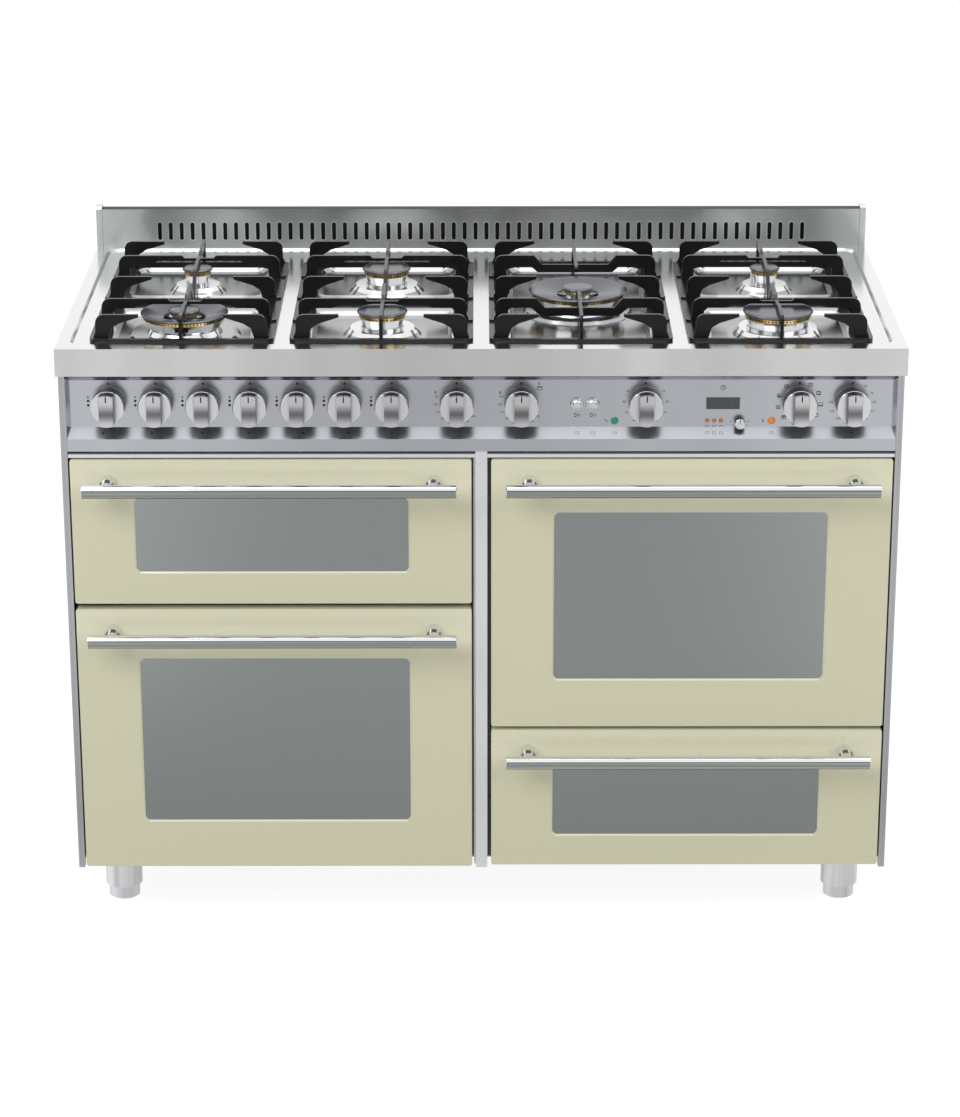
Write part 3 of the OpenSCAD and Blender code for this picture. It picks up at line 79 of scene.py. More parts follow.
class Shader:
    """Adds and joins the nodes of one shader tree."""

    def __init__(self, tree: bpy.types.NodeTree) -> None:
        """Takes a tree and empties it.

        Args:
            tree: node tree of a material, a world or a group.
        """
        self.tree = tree
        tree.nodes.clear()

    def add(self, kind: str, inputs: dict | None = None, **settings: object) -> bpy.types.Node:
        """Adds one node, sets its properties and fills its sockets.

        Args:
            kind: type name of the node.
            inputs: socket name or number to a value or to the socket that feeds it.
            **settings: properties of the node itself.

        Returns:
            The new node.
        """
        node = self.tree.nodes.new(kind)
        for key, value in settings.items():
            setattr(node, key, value)
        for key, value in (inputs or {}).items():
            if isinstance(value, bpy.types.NodeSocket):
                self.tree.links.new(value, node.inputs[key])
            else:
                node.inputs[key].default_value = value
        return node

    def math(self, operation: str, first: object, second: object = 0.0) -> bpy.types.NodeSocket:
        """Adds a Math node.

        Args:
            operation: name of the operation.
            first: value or socket.
            second: value or socket.

        Returns:
            The node's output.
        """
        return self.add("ShaderNodeMath", {0: first, 1: second}, operation=operation).outputs[0]

    def noise(self, vector: bpy.types.NodeSocket, scale: object, detail: float = 2.0) -> bpy.types.NodeSocket:
        """Adds a 3-D noise texture.

        Args:
            vector: coordinates.
            scale: cycles per metre, or the socket that gives them.
            detail: octaves of the noise.

        Returns:
            The noise's value, from 0 to 1.
        """
        return self.add("ShaderNodeTexNoise", {"Vector": vector, "Scale": scale, "Detail": detail}).outputs["Fac"]

    def ramp(self, value: object, low: float, high: float) -> bpy.types.NodeSocket:
        """Turns a value into a smooth rise, or a smooth fall where low is the larger.

        Args:
            value: value or socket.
            low: value that gives 0.
            high: value that gives 1.

        Returns:
            Number from 0 to 1.
        """
        return self.add("ShaderNodeMapRange", {"Value": value, "From Min": low, "From Max": high},
                        interpolation_type="SMOOTHSTEP").outputs["Result"]

    def between(self, share: object, first: object, second: object) -> bpy.types.NodeSocket:
        """Mixes two numbers.

        Args:
            share: 0 for the first, 1 for the second.
            first: value or socket.
            second: value or socket.

        Returns:
            The mixed number.
        """
        return self.add("ShaderNodeMix", {0: share, 2: first, 3: second}, data_type="FLOAT").outputs[0]

    def spread(self, value: object, base: object, width: object) -> bpy.types.NodeSocket:
        """Moves a value from 0 to 1 into a band round a base.

        Args:
            value: value from 0 to 1.
            base: middle of the band.
            width: full width of the band.

        Returns:
            base + (value - 0.5) * width.
        """
        centred = self.math("SUBTRACT", value, 0.5)
        return self.math("ADD", self.math("MULTIPLY", centred, width), base)


class Effect(Shader):
    """Shader node group with named inputs and outputs, which several materials share."""

    def __init__(self, name: str, inputs: dict[str, object], outputs: Iterable[str]) -> None:
        """Makes the empty group with its sockets.

        Args:
            name: name of the group.
            inputs: name of each input to its default; None makes a vector input.
            outputs: names of the outputs, each a number.
        """
        super().__init__(bpy.data.node_groups.new(name, "ShaderNodeTree"))
        for label, default in inputs.items():
            kind = "NodeSocketVector" if default is None or isinstance(default, tuple) else "NodeSocketFloat"
            socket = self.tree.interface.new_socket(label, in_out="INPUT", socket_type=kind)
            if default is not None:
                socket.default_value = default
        for label in outputs:
            self.tree.interface.new_socket(label, in_out="OUTPUT", socket_type="NodeSocketFloat")
        self.given = self.add("NodeGroupInput").outputs
        self.result = self.add("NodeGroupOutput")

    def give(self, label: str, value: bpy.types.NodeSocket) -> None:
        """Joins a value to an output.

        Args:
            label: name of the output.
            value: socket that feeds it.
        """
        self.tree.links.new(value, self.result.inputs[label])


@cache
def brushed_grain() -> bpy.types.NodeTree:
    """Builds the long fine scratches of brushed sheet, and the broad soft streaks that lie across them."""
    group = Effect("Brushed grain", {"Vector": None, "Stretch": (8.0, 900.0, 900.0), "Streak Stretch": (5.0, 0.3, 0.3),
                                     "Base Roughness": 0.25, "Roughness Spread": 0.1, "Tint Spread": 0.08,
                                     "Streak Spread": 0.1}, ("Tint", "Roughness", "Height"))
    stretched = group.add("ShaderNodeVectorMath", {0: group.given["Vector"], 1: group.given["Stretch"]},
                          operation="MULTIPLY").outputs[0]
    scratches = group.noise(stretched, 1.0, 3.0)
    across = group.add("ShaderNodeVectorMath", {0: group.given["Vector"], 1: group.given["Streak Stretch"]},
                       operation="MULTIPLY").outputs[0]
    streaks = group.noise(across, 1.0, 2.0)
    fine = group.math("MULTIPLY", group.math("SUBTRACT", scratches, 0.5), group.given["Tint Spread"])
    broad = group.math("MULTIPLY", group.math("SUBTRACT", streaks, 0.5), group.given["Streak Spread"])
    scratch_share = 0.75
    both = group.math("ADD", group.math("MULTIPLY", scratches, scratch_share),
                      group.math("MULTIPLY", streaks, 1 - scratch_share))
    group.give("Tint", group.math("ADD", group.math("ADD", fine, broad), 1.0))
    group.give("Roughness", group.spread(both, group.given["Base Roughness"], group.given["Roughness Spread"]))
    group.give("Height", scratches)
    return group.tree


@cache
def handled_gloss() -> bpy.types.NodeTree:
    """Builds the uneven gloss that wiping and handling leave on a smooth surface."""
    group = Effect("Handled gloss", {"Vector": None, "Scale": 9.0, "Base Roughness": 0.15, "Roughness Spread": 0.06},
                   ("Roughness",))
    clouds = group.noise(group.given["Vector"], group.given["Scale"], 4.0)
    group.give("Roughness", group.spread(clouds, group.given["Base Roughness"], group.given["Roughness Spread"]))
    return group.tree


@cache
def orange_peel() -> bpy.types.NodeTree:
    """Builds the slight waviness of fired enamel and moulded plastic."""
    group = Effect("Orange peel", {"Vector": None, "Scale": 140.0}, ("Height",))
    group.give("Height", group.noise(group.given["Vector"], group.given["Scale"], 1.0))
    return group.tree


@cache
def cast_skin() -> bpy.types.NodeTree:
    """Builds the sandy skin of a casting under enamel."""
    group = Effect("Cast skin", {"Vector": None, "Scale": 420.0, "Swell Scale": 45.0, "Swell Height": 0.8,
                                 "Base Roughness": 0.4, "Roughness Spread": 0.25}, ("Height", "Roughness"))
    sand = group.noise(group.given["Vector"], group.given["Scale"], 3.0)
    swell = group.noise(group.given["Vector"], group.given["Swell Scale"], 1.0)
    group.give("Height", group.math("ADD", sand, group.math("MULTIPLY", swell, group.given["Swell Height"])))
    group.give("Roughness", group.spread(sand, group.given["Base Roughness"], group.given["Roughness Spread"]))
    return group.tree


@cache
def enamel_fleck() -> bpy.types.NodeTree:
    """Builds the small pale flecks of oven enamel."""
    group = Effect("Enamel fleck", {"Vector": None, "Scale": 420.0, "Threshold": 0.66}, ("Mask",))
    dots = group.noise(group.given["Vector"], group.given["Scale"], 0.0)
    group.give("Mask", group.math("GREATER_THAN", dots, group.given["Threshold"]))
    return group.tree


@cache
def flame_ports() -> bpy.types.NodeTree:
    """Builds the row of round ports round a flame ring."""
    group = Effect("Flame ports", {"Vector": None, "Centre": (0.0, 0.0, 0.0), "Count": 30.0, "Radius": 0.05,
                                   "Port Radius": 0.0012}, ("Mask",))
    local = group.add("ShaderNodeVectorMath", {0: group.given["Vector"], 1: group.given["Centre"]},
                      operation="SUBTRACT").outputs[0]
    axes = group.add("ShaderNodeSeparateXYZ", {0: local}).outputs
    turn = group.math("ARCTAN2", axes["Y"], axes["X"])
    share = group.math("DIVIDE", turn, 2 * math.pi)
    cell = group.math("FRACT", group.math("MULTIPLY", share, group.given["Count"]))
    pitch = group.math("DIVIDE", group.math("MULTIPLY", group.given["Radius"], 2 * math.pi), group.given["Count"])
    aside = group.math("MULTIPLY", group.math("SUBTRACT", cell, 0.5), pitch)
    off = group.math("SQRT", group.math("ADD", group.math("POWER", aside, 2.0), group.math("POWER", axes["Z"], 2.0)))
    group.give("Mask", group.math("LESS_THAN", off, group.given["Port Radius"]))
    return group.tree


# ---------------------------------------------------------------- finishes


def linear(colour: tuple[int, int, int]) -> tuple[float, float, float, float]:
    """Turns a colour of 0 to 255 into Blender's linear values.

    Args:
        colour: red, green and blue as they look on a screen.

    Returns:
        Linear red, green, blue and an alpha of 1.
    """
    parts = [value / 255 for value in colour]
    return (*(p / 12.92 if p <= 0.04045 else ((p + 0.055) / 1.055) ** 2.4 for p in parts), 1.0)


class Grain(Enum):
    """Direction in which sheet was brushed: scratches and streaks, each as cycles per metre along X, Y and Z."""

    ALONG_X = ((6.0, 1900.0, 1900.0), (7.0, 0.3, 0.3))
    ALONG_Z = ((1900.0, 1900.0, 6.0), (0.3, 0.3, 7.0))
    TURNED = ((900.0, 900.0, 900.0), (48.0, 48.0, 0.3))


@dataclass(frozen=True)
class Finish:
    """Surface finish with a name and a screen colour."""

    name: str
    colour: tuple[int, int, int]

    def shade(self, nodes: Shader, surface: bpy.types.Node, place: bpy.types.NodeSocket) -> None:
        """Fills in the Principled shader; each kind of finish has its own.

        Args:
            nodes: the material's tree.
            surface: the Principled shader.
            place: object coordinates.
        """
        raise NotImplementedError

    def tinted(self, nodes: Shader, tint: bpy.types.NodeSocket) -> bpy.types.NodeSocket:
        """Multiplies the finish's colour by a varying tint.

        Args:
            nodes: the material's tree.
            tint: number near 1.

        Returns:
            The colour's socket.
        """
        mix = nodes.add("ShaderNodeMix", {"Factor": 1.0, 6: linear(self.colour)}, data_type="RGBA",
                        blend_type="MULTIPLY")
        nodes.tree.links.new(tint, mix.inputs[7])
        return mix.outputs[2]

    def blend_in(self, nodes: Shader, surface: bpy.types.Node, mask: bpy.types.NodeSocket,
                 other: tuple[int, int, int]) -> None:
        """Mixes another colour into the finish's own.

        Args:
            nodes: the material's tree.
            surface: the Principled shader.
            mask: 0 for the finish's colour, 1 for the other.
            other: the other colour.
        """
        mix = nodes.add("ShaderNodeMix", {"Factor": mask, 6: linear(self.colour), 7: linear(other)}, data_type="RGBA")
        nodes.tree.links.new(mix.outputs[2], surface.inputs["Base Color"])

    def relief(self, nodes: Shader, surface: bpy.types.Node, height: bpy.types.NodeSocket, strength: float,
               depth: float) -> None:
        """Adds a bump to the shader.

        Args:
            nodes: the material's tree.
            surface: the Principled shader.
            height: height from 0 to 1.
            strength: share of the bump that shows.
            depth: real depth of the relief in metres.
        """
        bump = nodes.add("ShaderNodeBump", {"Height": height, "Strength": strength, "Distance": depth})
        nodes.tree.links.new(bump.outputs["Normal"], surface.inputs["Normal"])

    def group(self, nodes: Shader, effect: bpy.types.NodeTree, place: bpy.types.NodeSocket,
              values: dict[str, object]) -> bpy.types.NodeOutputs:
        """Places a shared effect in this material.

        Args:
            nodes: the material's tree.
            effect: the node group.
            place: object coordinates.
            values: the group's other inputs.

        Returns:
            The group's outputs.
        """
        node = nodes.add("ShaderNodeGroup", node_tree=effect)
        nodes.tree.links.new(place, node.inputs["Vector"])
        for label, value in values.items():
            node.inputs[label].default_value = value
        return node.outputs


@dataclass(frozen=True)
class BrushedMetal(Finish):
    """Sheet metal with a brushed grain."""

    roughness: float = 0.25
    grain: Grain = Grain.ALONG_X
    tint_spread: float = 0.06
    streak_spread: float = 0.12
    metallic: float = 1.0
    depth: float = 0.01 * MM

    def shade(self, nodes: Shader, surface: bpy.types.Node, place: bpy.types.NodeSocket) -> None:
        """Shades the metal; see Finish.shade."""
        scratches, streaks = self.grain.value
        out = self.group(nodes, brushed_grain(), place, {
            "Stretch": scratches, "Streak Stretch": streaks, "Base Roughness": self.roughness,
            "Roughness Spread": self.roughness * 0.5, "Tint Spread": self.tint_spread,
            "Streak Spread": self.streak_spread})
        surface.inputs["Metallic"].default_value = self.metallic
        nodes.tree.links.new(self.tinted(nodes, out["Tint"]), surface.inputs["Base Color"])
        nodes.tree.links.new(out["Roughness"], surface.inputs["Roughness"])
        self.relief(nodes, surface, out["Height"], 0.12, self.depth)


@dataclass(frozen=True)
class PolishedMetal(Finish):
    """Polished or plated metal, slightly uneven from handling; a band at one height may be darker, as painted shade.
    """

    roughness: float = 0.08
    metallic: float = 1.0
    shade_band_z: float = 0.0
    shade_band_colour: tuple[int, int, int] = (128, 129, 132)
    shade_band_reach: float = 17 * MM

    def shade(self, nodes: Shader, surface: bpy.types.Node, place: bpy.types.NodeSocket) -> None:
        """Shades the metal; see Finish.shade."""
        out = self.group(nodes, handled_gloss(), place, {
            "Scale": 14.0, "Base Roughness": self.roughness, "Roughness Spread": self.roughness * 0.6})
        surface.inputs["Metallic"].default_value = self.metallic
        surface.inputs["Base Color"].default_value = linear(self.colour)
        nodes.tree.links.new(out["Roughness"], surface.inputs["Roughness"])
        # Painted shade: a darker band round one height stands for the dark room mirrored in a finger's hollow.
        if self.shade_band_z:
            height = nodes.add("ShaderNodeSeparateXYZ", {0: place}).outputs["Z"]
            off = nodes.math("ABSOLUTE", nodes.math("SUBTRACT", height, self.shade_band_z))
            mask = nodes.ramp(off, self.shade_band_reach, 0.0)
            self.blend_in(nodes, surface, mask, self.shade_band_colour)


@dataclass(frozen=True)
class Enamel(Finish):
    """Fired vitreous enamel: glossy, with a faint waviness; in an oven pale flecks, on a front a painted sheen that
    makes its top paler.
    """

    roughness: float = 0.12
    fleck: tuple[int, int, int] | None = None
    coat: float = 0.4
    coat_roughness: float = 0.06
    gloss_scale: float = 6.0
    peel_scale: float = 130.0
    peel_strength: float = 0.1
    peel_height: float = 0.05 * MM
    sheen_top_z: float = 0.0
    sheen_colour: tuple[int, int, int] = (240, 238, 210)
    sheen_reach: float = 75 * MM
    sheen_share: float = 0.62

    def shade(self, nodes: Shader, surface: bpy.types.Node, place: bpy.types.NodeSocket) -> None:
        """Shades the enamel; see Finish.shade."""
        gloss = self.group(nodes, handled_gloss(), place, {
            "Scale": self.gloss_scale, "Base Roughness": self.roughness, "Roughness Spread": self.roughness / 2})
        peel = self.group(nodes, orange_peel(), place, {"Scale": self.peel_scale})
        surface.inputs["Base Color"].default_value = linear(self.colour)
        surface.inputs["Coat Weight"].default_value = self.coat
        surface.inputs["Coat Roughness"].default_value = self.coat_roughness
        nodes.tree.links.new(gloss["Roughness"], surface.inputs["Roughness"])
        self.relief(nodes, surface, peel["Height"], self.peel_strength, self.peel_height)
        if self.fleck:
            self.blend_in(nodes, surface, self.group(nodes, enamel_fleck(), place, {})["Mask"], self.fleck)
        # Painted sheen: paler towards the top edge, standing for overhead light caught by the gloss.
        if self.sheen_top_z:
            height = nodes.add("ShaderNodeSeparateXYZ", {0: place}).outputs["Z"]
            mask = nodes.ramp(height, self.sheen_top_z - self.sheen_reach, self.sheen_top_z - self.sheen_reach / 2)
            self.blend_in(nodes, surface, nodes.math("MULTIPLY", mask, self.sheen_share), self.sheen_colour)


@dataclass(frozen=True)
class CastIron(Finish):
    """Cast iron under satin black enamel."""

    roughness: float = 0.42
    specular: float = 0.36
    skin_strength: float = 0.25
    skin_height: float = 0.12 * MM

    def shade(self, nodes: Shader, surface: bpy.types.Node, place: bpy.types.NodeSocket) -> None:
        """Shades the casting; see Finish.shade."""
        out = self.group(nodes, cast_skin(), place, {"Base Roughness": self.roughness})
        surface.inputs["Base Color"].default_value = linear(self.colour)
        surface.inputs["Specular IOR Level"].default_value = self.specular
        nodes.tree.links.new(out["Roughness"], surface.inputs["Roughness"])
        self.relief(nodes, surface, out["Height"], self.skin_strength, self.skin_height)


@dataclass(frozen=True)
class PortedBrass(Finish):
    """Brass flame ring, with its ports as dark spots round it, painted shade in place of holes."""

    centre: tuple[float, float, float] = (0.0, 0.0, 0.0)
    radius: float = 0.05
    roughness: float = 0.22
    roughness_spread: float = 0.12
    gloss_scale: float = 60.0
    port_pitch: float = 5.2 * MM
    port_radius: float = 1.3 * MM
    port_shade_colour: tuple[int, int, int] = (20, 15, 9)

    def shade(self, nodes: Shader, surface: bpy.types.Node, place: bpy.types.NodeSocket) -> None:
        """Shades the ring; see Finish.shade."""
        count = round(2 * math.pi * self.radius / self.port_pitch)
        mask = self.group(nodes, flame_ports(), place, {
            "Centre": self.centre, "Count": float(count), "Radius": self.radius,
            "Port Radius": self.port_radius})["Mask"]
        gloss = self.group(nodes, handled_gloss(), place, {
            "Scale": self.gloss_scale, "Base Roughness": self.roughness, "Roughness Spread": self.roughness_spread})
        # Painted shade: dark spots stand for the port holes.
        self.blend_in(nodes, surface, mask, self.port_shade_colour)
        nodes.tree.links.new(nodes.math("SUBTRACT", 1.0, mask), surface.inputs["Metallic"])
        nodes.tree.links.new(gloss["Roughness"], surface.inputs["Roughness"])


@dataclass(frozen=True)
class MirrorGlass(Finish):
    """Grey mirror-coated oven glass, which lets a little of the oven show through."""

    cover: float = 0.86
    roughness: float = 0.1
    roughness_spread: float = 0.05
    gloss_scale: float = 4.0

    def shade(self, nodes: Shader, surface: bpy.types.Node, place: bpy.types.NodeSocket) -> None:
        """Shades the pane; see Finish.shade."""
        gloss = self.group(nodes, handled_gloss(), place, {
            "Scale": self.gloss_scale, "Base Roughness": self.roughness, "Roughness Spread": self.roughness_spread})
        surface.inputs["Base Color"].default_value = linear(self.colour)
        surface.inputs["Metallic"].default_value = 1.0
        surface.inputs["Alpha"].default_value = self.cover
        nodes.tree.links.new(gloss["Roughness"], surface.inputs["Roughness"])


@dataclass(frozen=True)
class Plastic(Finish):
    """Moulded plastic, rubber or ceramic."""

    roughness: float = 0.5
    depth: float = 0.04 * MM

    def shade(self, nodes: Shader, surface: bpy.types.Node, place: bpy.types.NodeSocket) -> None:
        """Shades the moulding; see Finish.shade."""
        gloss = self.group(nodes, handled_gloss(), place, {
            "Scale": 25.0, "Base Roughness": self.roughness, "Roughness Spread": 0.1})
        peel = self.group(nodes, orange_peel(), place, {"Scale": 500.0})
        surface.inputs["Base Color"].default_value = linear(self.colour)
        nodes.tree.links.new(gloss["Roughness"], surface.inputs["Roughness"])
        self.relief(nodes, surface, peel["Height"], 0.2, self.depth)


@dataclass(frozen=True)
class Lens(Finish):
    """Coloured lamp lens over a dark inside."""

    glow: float = 0.12

    def shade(self, nodes: Shader, surface: bpy.types.Node, place: bpy.types.NodeSocket) -> None:
        """Shades the lens; see Finish.shade."""
        gloss = self.group(nodes, handled_gloss(), place, {
            "Scale": 90.0, "Base Roughness": 0.12, "Roughness Spread": 0.08})
        surface.inputs["Base Color"].default_value = linear(self.colour)
        surface.inputs["Coat Weight"].default_value = 1.0
        surface.inputs["Emission Color"].default_value = linear(self.colour)
        surface.inputs["Emission Strength"].default_value = self.glow
        nodes.tree.links.new(gloss["Roughness"], surface.inputs["Roughness"])


@cache
def material(finish: Finish) -> bpy.types.Material:
    """Builds a finish's material once.

    Args:
        finish: the finish.

    Returns:
        Its material.
    """
    made = bpy.data.materials.new(finish.name)
    made.use_nodes = True
    nodes = Shader(made.node_tree)
    surface = nodes.add("ShaderNodeBsdfPrincipled")
    nodes.add("ShaderNodeOutputMaterial", {"Surface": surface.outputs[0]})
    place = nodes.add("ShaderNodeTexCoord").outputs["Object"]
    finish.shade(nodes, surface, place)
    return made


HOB_STEEL = BrushedMetal("hob steel", (240, 240, 240), roughness=0.17)
# Painted shade: the burner wells are darker than the rest of the same pressed sheet.
WELL_SHADE_STEEL = BrushedMetal("burner well steel", (176, 177, 178), roughness=0.16, streak_spread=0.3)
BAND_STEEL = BrushedMetal("hob band steel", (232, 231, 231), roughness=0.27, streak_spread=0.55)
UPSTAND_STEEL = BrushedMetal("upstand steel", (222, 227, 225), roughness=0.3, streak_spread=0.4)
# Painted highlight: the slot lips are paler than the upstand sheet they belong to.
LIP_HIGHLIGHT_STEEL = BrushedMetal("slot lip steel", (246, 248, 247), roughness=0.34)
PANEL_STEEL = BrushedMetal("control panel steel", (204, 207, 213), roughness=0.24, streak_spread=0.3)
SIDE_STEEL = BrushedMetal("side panel steel", (197, 198, 203), roughness=0.3, grain=Grain.ALONG_Z)
TRIM_STEEL = BrushedMetal("trim steel", (240, 240, 243), roughness=0.24, grain=Grain.ALONG_Z, metallic=0.5)
SHEET_STEEL = BrushedMetal("plain sheet steel", (150, 152, 154), roughness=0.38, tint_spread=0.12)
FOOT_STEEL = BrushedMetal("turned foot steel", (232, 233, 235), roughness=0.16, grain=Grain.TURNED,
                          streak_spread=1.5, metallic=0.85)
CHROME = PolishedMetal("bright chrome", (236, 238, 240), roughness=0.07)
# Painted reflection and shade on the lower faces of the handle bars.
BAR_FLANK_REFLECTION = PolishedMetal("bar's painted grey reflection", (172, 178, 172), roughness=0.12)
BAR_UNDERSIDE = PolishedMetal("bar's shaded underside", (34, 35, 36), roughness=0.2)
RACK_CHROME = PolishedMetal("rack chrome", (200, 201, 203), roughness=0.18)
KNOB_SATIN = PolishedMetal("satin knob", (240, 240, 242), roughness=0.27)
# The knob grip's darker band is painted shade, not the metal's own colour.
KNOB_GRIP_SHADED = PolishedMetal("satin knob's grip", (226, 226, 229), roughness=0.24, shade_band_z=811 * MM)
# Painted shade on the knobs' sides, which face the dark under the hob band.
KNOB_SIDE_SHADE = PolishedMetal("satin knob's painted side shade", (84, 85, 88), roughness=0.3)
BURNER_ALLOY = PolishedMetal("burner alloy", (226, 227, 229), roughness=0.14)
CAP_ENAMEL = PolishedMetal("burner cap enamel", (104, 106, 112), roughness=0.22, metallic=0.8)
MANIFOLD_BRASS = PolishedMetal("manifold brass", (186, 148, 78), roughness=0.3)
CREAM_ENAMEL = Enamel("cream enamel", (219, 217, 186), roughness=0.14)
# Painted highlight for the upward faces of the door fronts.
CREAM_HIGHLIGHT = Enamel("cream enamel's painted highlight", (244, 242, 220), roughness=0.1)
# Painted shade: a dark finish inside the upstand, where the slots look into shadow.
SLOT_SHADE = Plastic("painted shade inside the upstand", (46, 50, 50), roughness=0.6)
OVEN_ENAMEL = Enamel("oven enamel", (34, 36, 42), roughness=0.16, fleck=(88, 92, 100))
GRATE_IRON = CastIron("pan support iron", (11, 11, 12), roughness=0.34)
# Painted highlight on the upward faces of the pan supports.
GRATE_TOP_HIGHLIGHT = CastIron("wiped top of the pan support", (56, 56, 58), roughness=0.26)
OVEN_GLASS = MirrorGlass("oven glass", (176, 182, 181))
DARK_PLASTIC = Plastic("dark plastic", (28, 28, 30))
INK = Plastic("panel print", (26, 26, 30), roughness=0.6)
FADED_INK = Plastic("ledge print", (150, 152, 156), roughness=0.6)
GASKET_RUBBER = Plastic("gasket rubber", (96, 96, 92), roughness=0.75)
CERAMIC = Plastic("electrode ceramic", (226, 224, 216), roughness=0.3)
DISPLAY_GLASS = Lens("clock window", (52, 55, 60), glow=0.0)
DIGIT = Lens("unlit clock digit", (74, 70, 72), glow=0.0)
GREEN_LENS = Lens("green lens", (14, 138, 98))
AMBER_LENS = Lens("amber lens", (224, 134, 26))
LED_LENS = Lens("small amber lens", (176, 106, 42))
SHEATH = PolishedMetal("element sheath", (92, 84, 76), roughness=0.45)


# ---------------------------------------------------------------- meshes


def middle(low: Vector, high: Vector) -> Vector:
    """Returns the point halfway between two corners."""
    return (low + high) / 2


@dataclass
class Island:
    """Faces of one separate solid in a node."""

    faces: list[int]
    low: Vector
    high: Vector

    @property
    def size(self) -> Vector:
        """Width, depth and height of the solid."""
        return self.high - self.low

    @property
    def centre(self) -> Vector:
        """Middle of the solid's box."""
        return middle(self.low, self.high)


def islands(node: bpy.types.Object) -> list[Island]:
    """Finds the separate solids of a node, whose vertices may lie doubled on its sharp edges.

    Args:
        node: the node's object.

    Returns:
        One island for each solid.
    """
    mesh = node.data
    leader: dict[tuple[int, int, int], tuple[int, int, int]] = {}
    keys = [tuple(round(value * 1e6) for value in vertex.co) for vertex in mesh.vertices]

    def find(key: tuple[int, int, int]) -> tuple[int, int, int]:
        """Finds the key that stands for a key's solid.

        Args:
            key: rounded place of a vertex.

        Returns:
            Rounded place of the solid's leading vertex.
        """
        while leader.setdefault(key, key) != key:
            leader[key] = leader[leader[key]]
            key = leader[key]
        return key

    for face in mesh.polygons:
        first = find(keys[face.vertices[0]])
        for index in face.vertices[1:]:
            leader[find(keys[index])] = first
    found: dict[tuple[int, int, int], Island] = {}
    for face in mesh.polygons:
        key = find(keys[face.vertices[0]])
        if key not in found:
            start = mesh.vertices[face.vertices[0]].co.copy()
            found[key] = Island([], start.copy(), start.copy())
        solid = found[key]
        solid.faces.append(face.index)
        for index in face.vertices:
            point = mesh.vertices[index].co
            solid.low = Vector(map(min, solid.low, point))
            solid.high = Vector(map(max, solid.high, point))
    return list(found.values())


def flat_ring(mesh: bmesh.types.BMesh, inner: float, outer: float, thick: float, start: float = 0.0,
              sweep: float = 360.0, steps: int = 32) -> list[bmesh.types.BMVert]:
    """Adds a flat ring or arc round the origin, on the plane z = 0.

    Args:
        mesh: mesh that receives it.
        inner: inner radius.
        outer: outer radius.
        thick: thickness along Z.
        start: angle of the first end in degrees, anticlockwise from +X.
        sweep: angle from end to end in degrees.
        steps: faces round the sweep.

    Returns:
        The new vertices.
    """
    before = set(mesh.verts)
    corners = [mesh.verts.new(point) for point in ((inner, 0, 0), (outer, 0, 0), (outer, 0, thick), (inner, 0, thick))]
    loop = [mesh.edges.new((corners[i], corners[(i + 1) % 4])) for i in range(4)]
    full = sweep >= 360.0
    bmesh.ops.spin(mesh, geom=[*corners, *loop], axis=(0, 0, 1), cent=(0, 0, 0), steps=steps,
                   angle=math.radians(sweep), use_merge=full, use_duplicate=False)
    made = [vertex for vertex in mesh.verts if vertex not in before]
    if not full:
        ends = dict.fromkeys(edge for vertex in made for edge in vertex.link_edges if edge.is_boundary)
        bmesh.ops.holes_fill(mesh, edges=list(ends), sides=4)
    faces = dict.fromkeys(face for vertex in made for face in vertex.link_faces)
    bmesh.ops.recalc_face_normals(mesh, faces=list(faces))
    bmesh.ops.rotate(mesh, verts=made, cent=(0, 0, 0), matrix=Matrix.Rotation(math.radians(start), 3, "Z"))
    return made


@dataclass
class Plane:
    """Flat place that carries print, with its origin and its right and up directions."""

    origin: Vector
    right: Vector
    up: Vector

    @property
    def matrix(self) -> Matrix:
        """Matrix from the plane's right, up and outward axes to the frame."""
        outward = self.right.cross(self.up)
        turn = Matrix((self.right, self.up, outward)).transposed().to_4x4()
        return Matrix.Translation(self.origin) @ turn


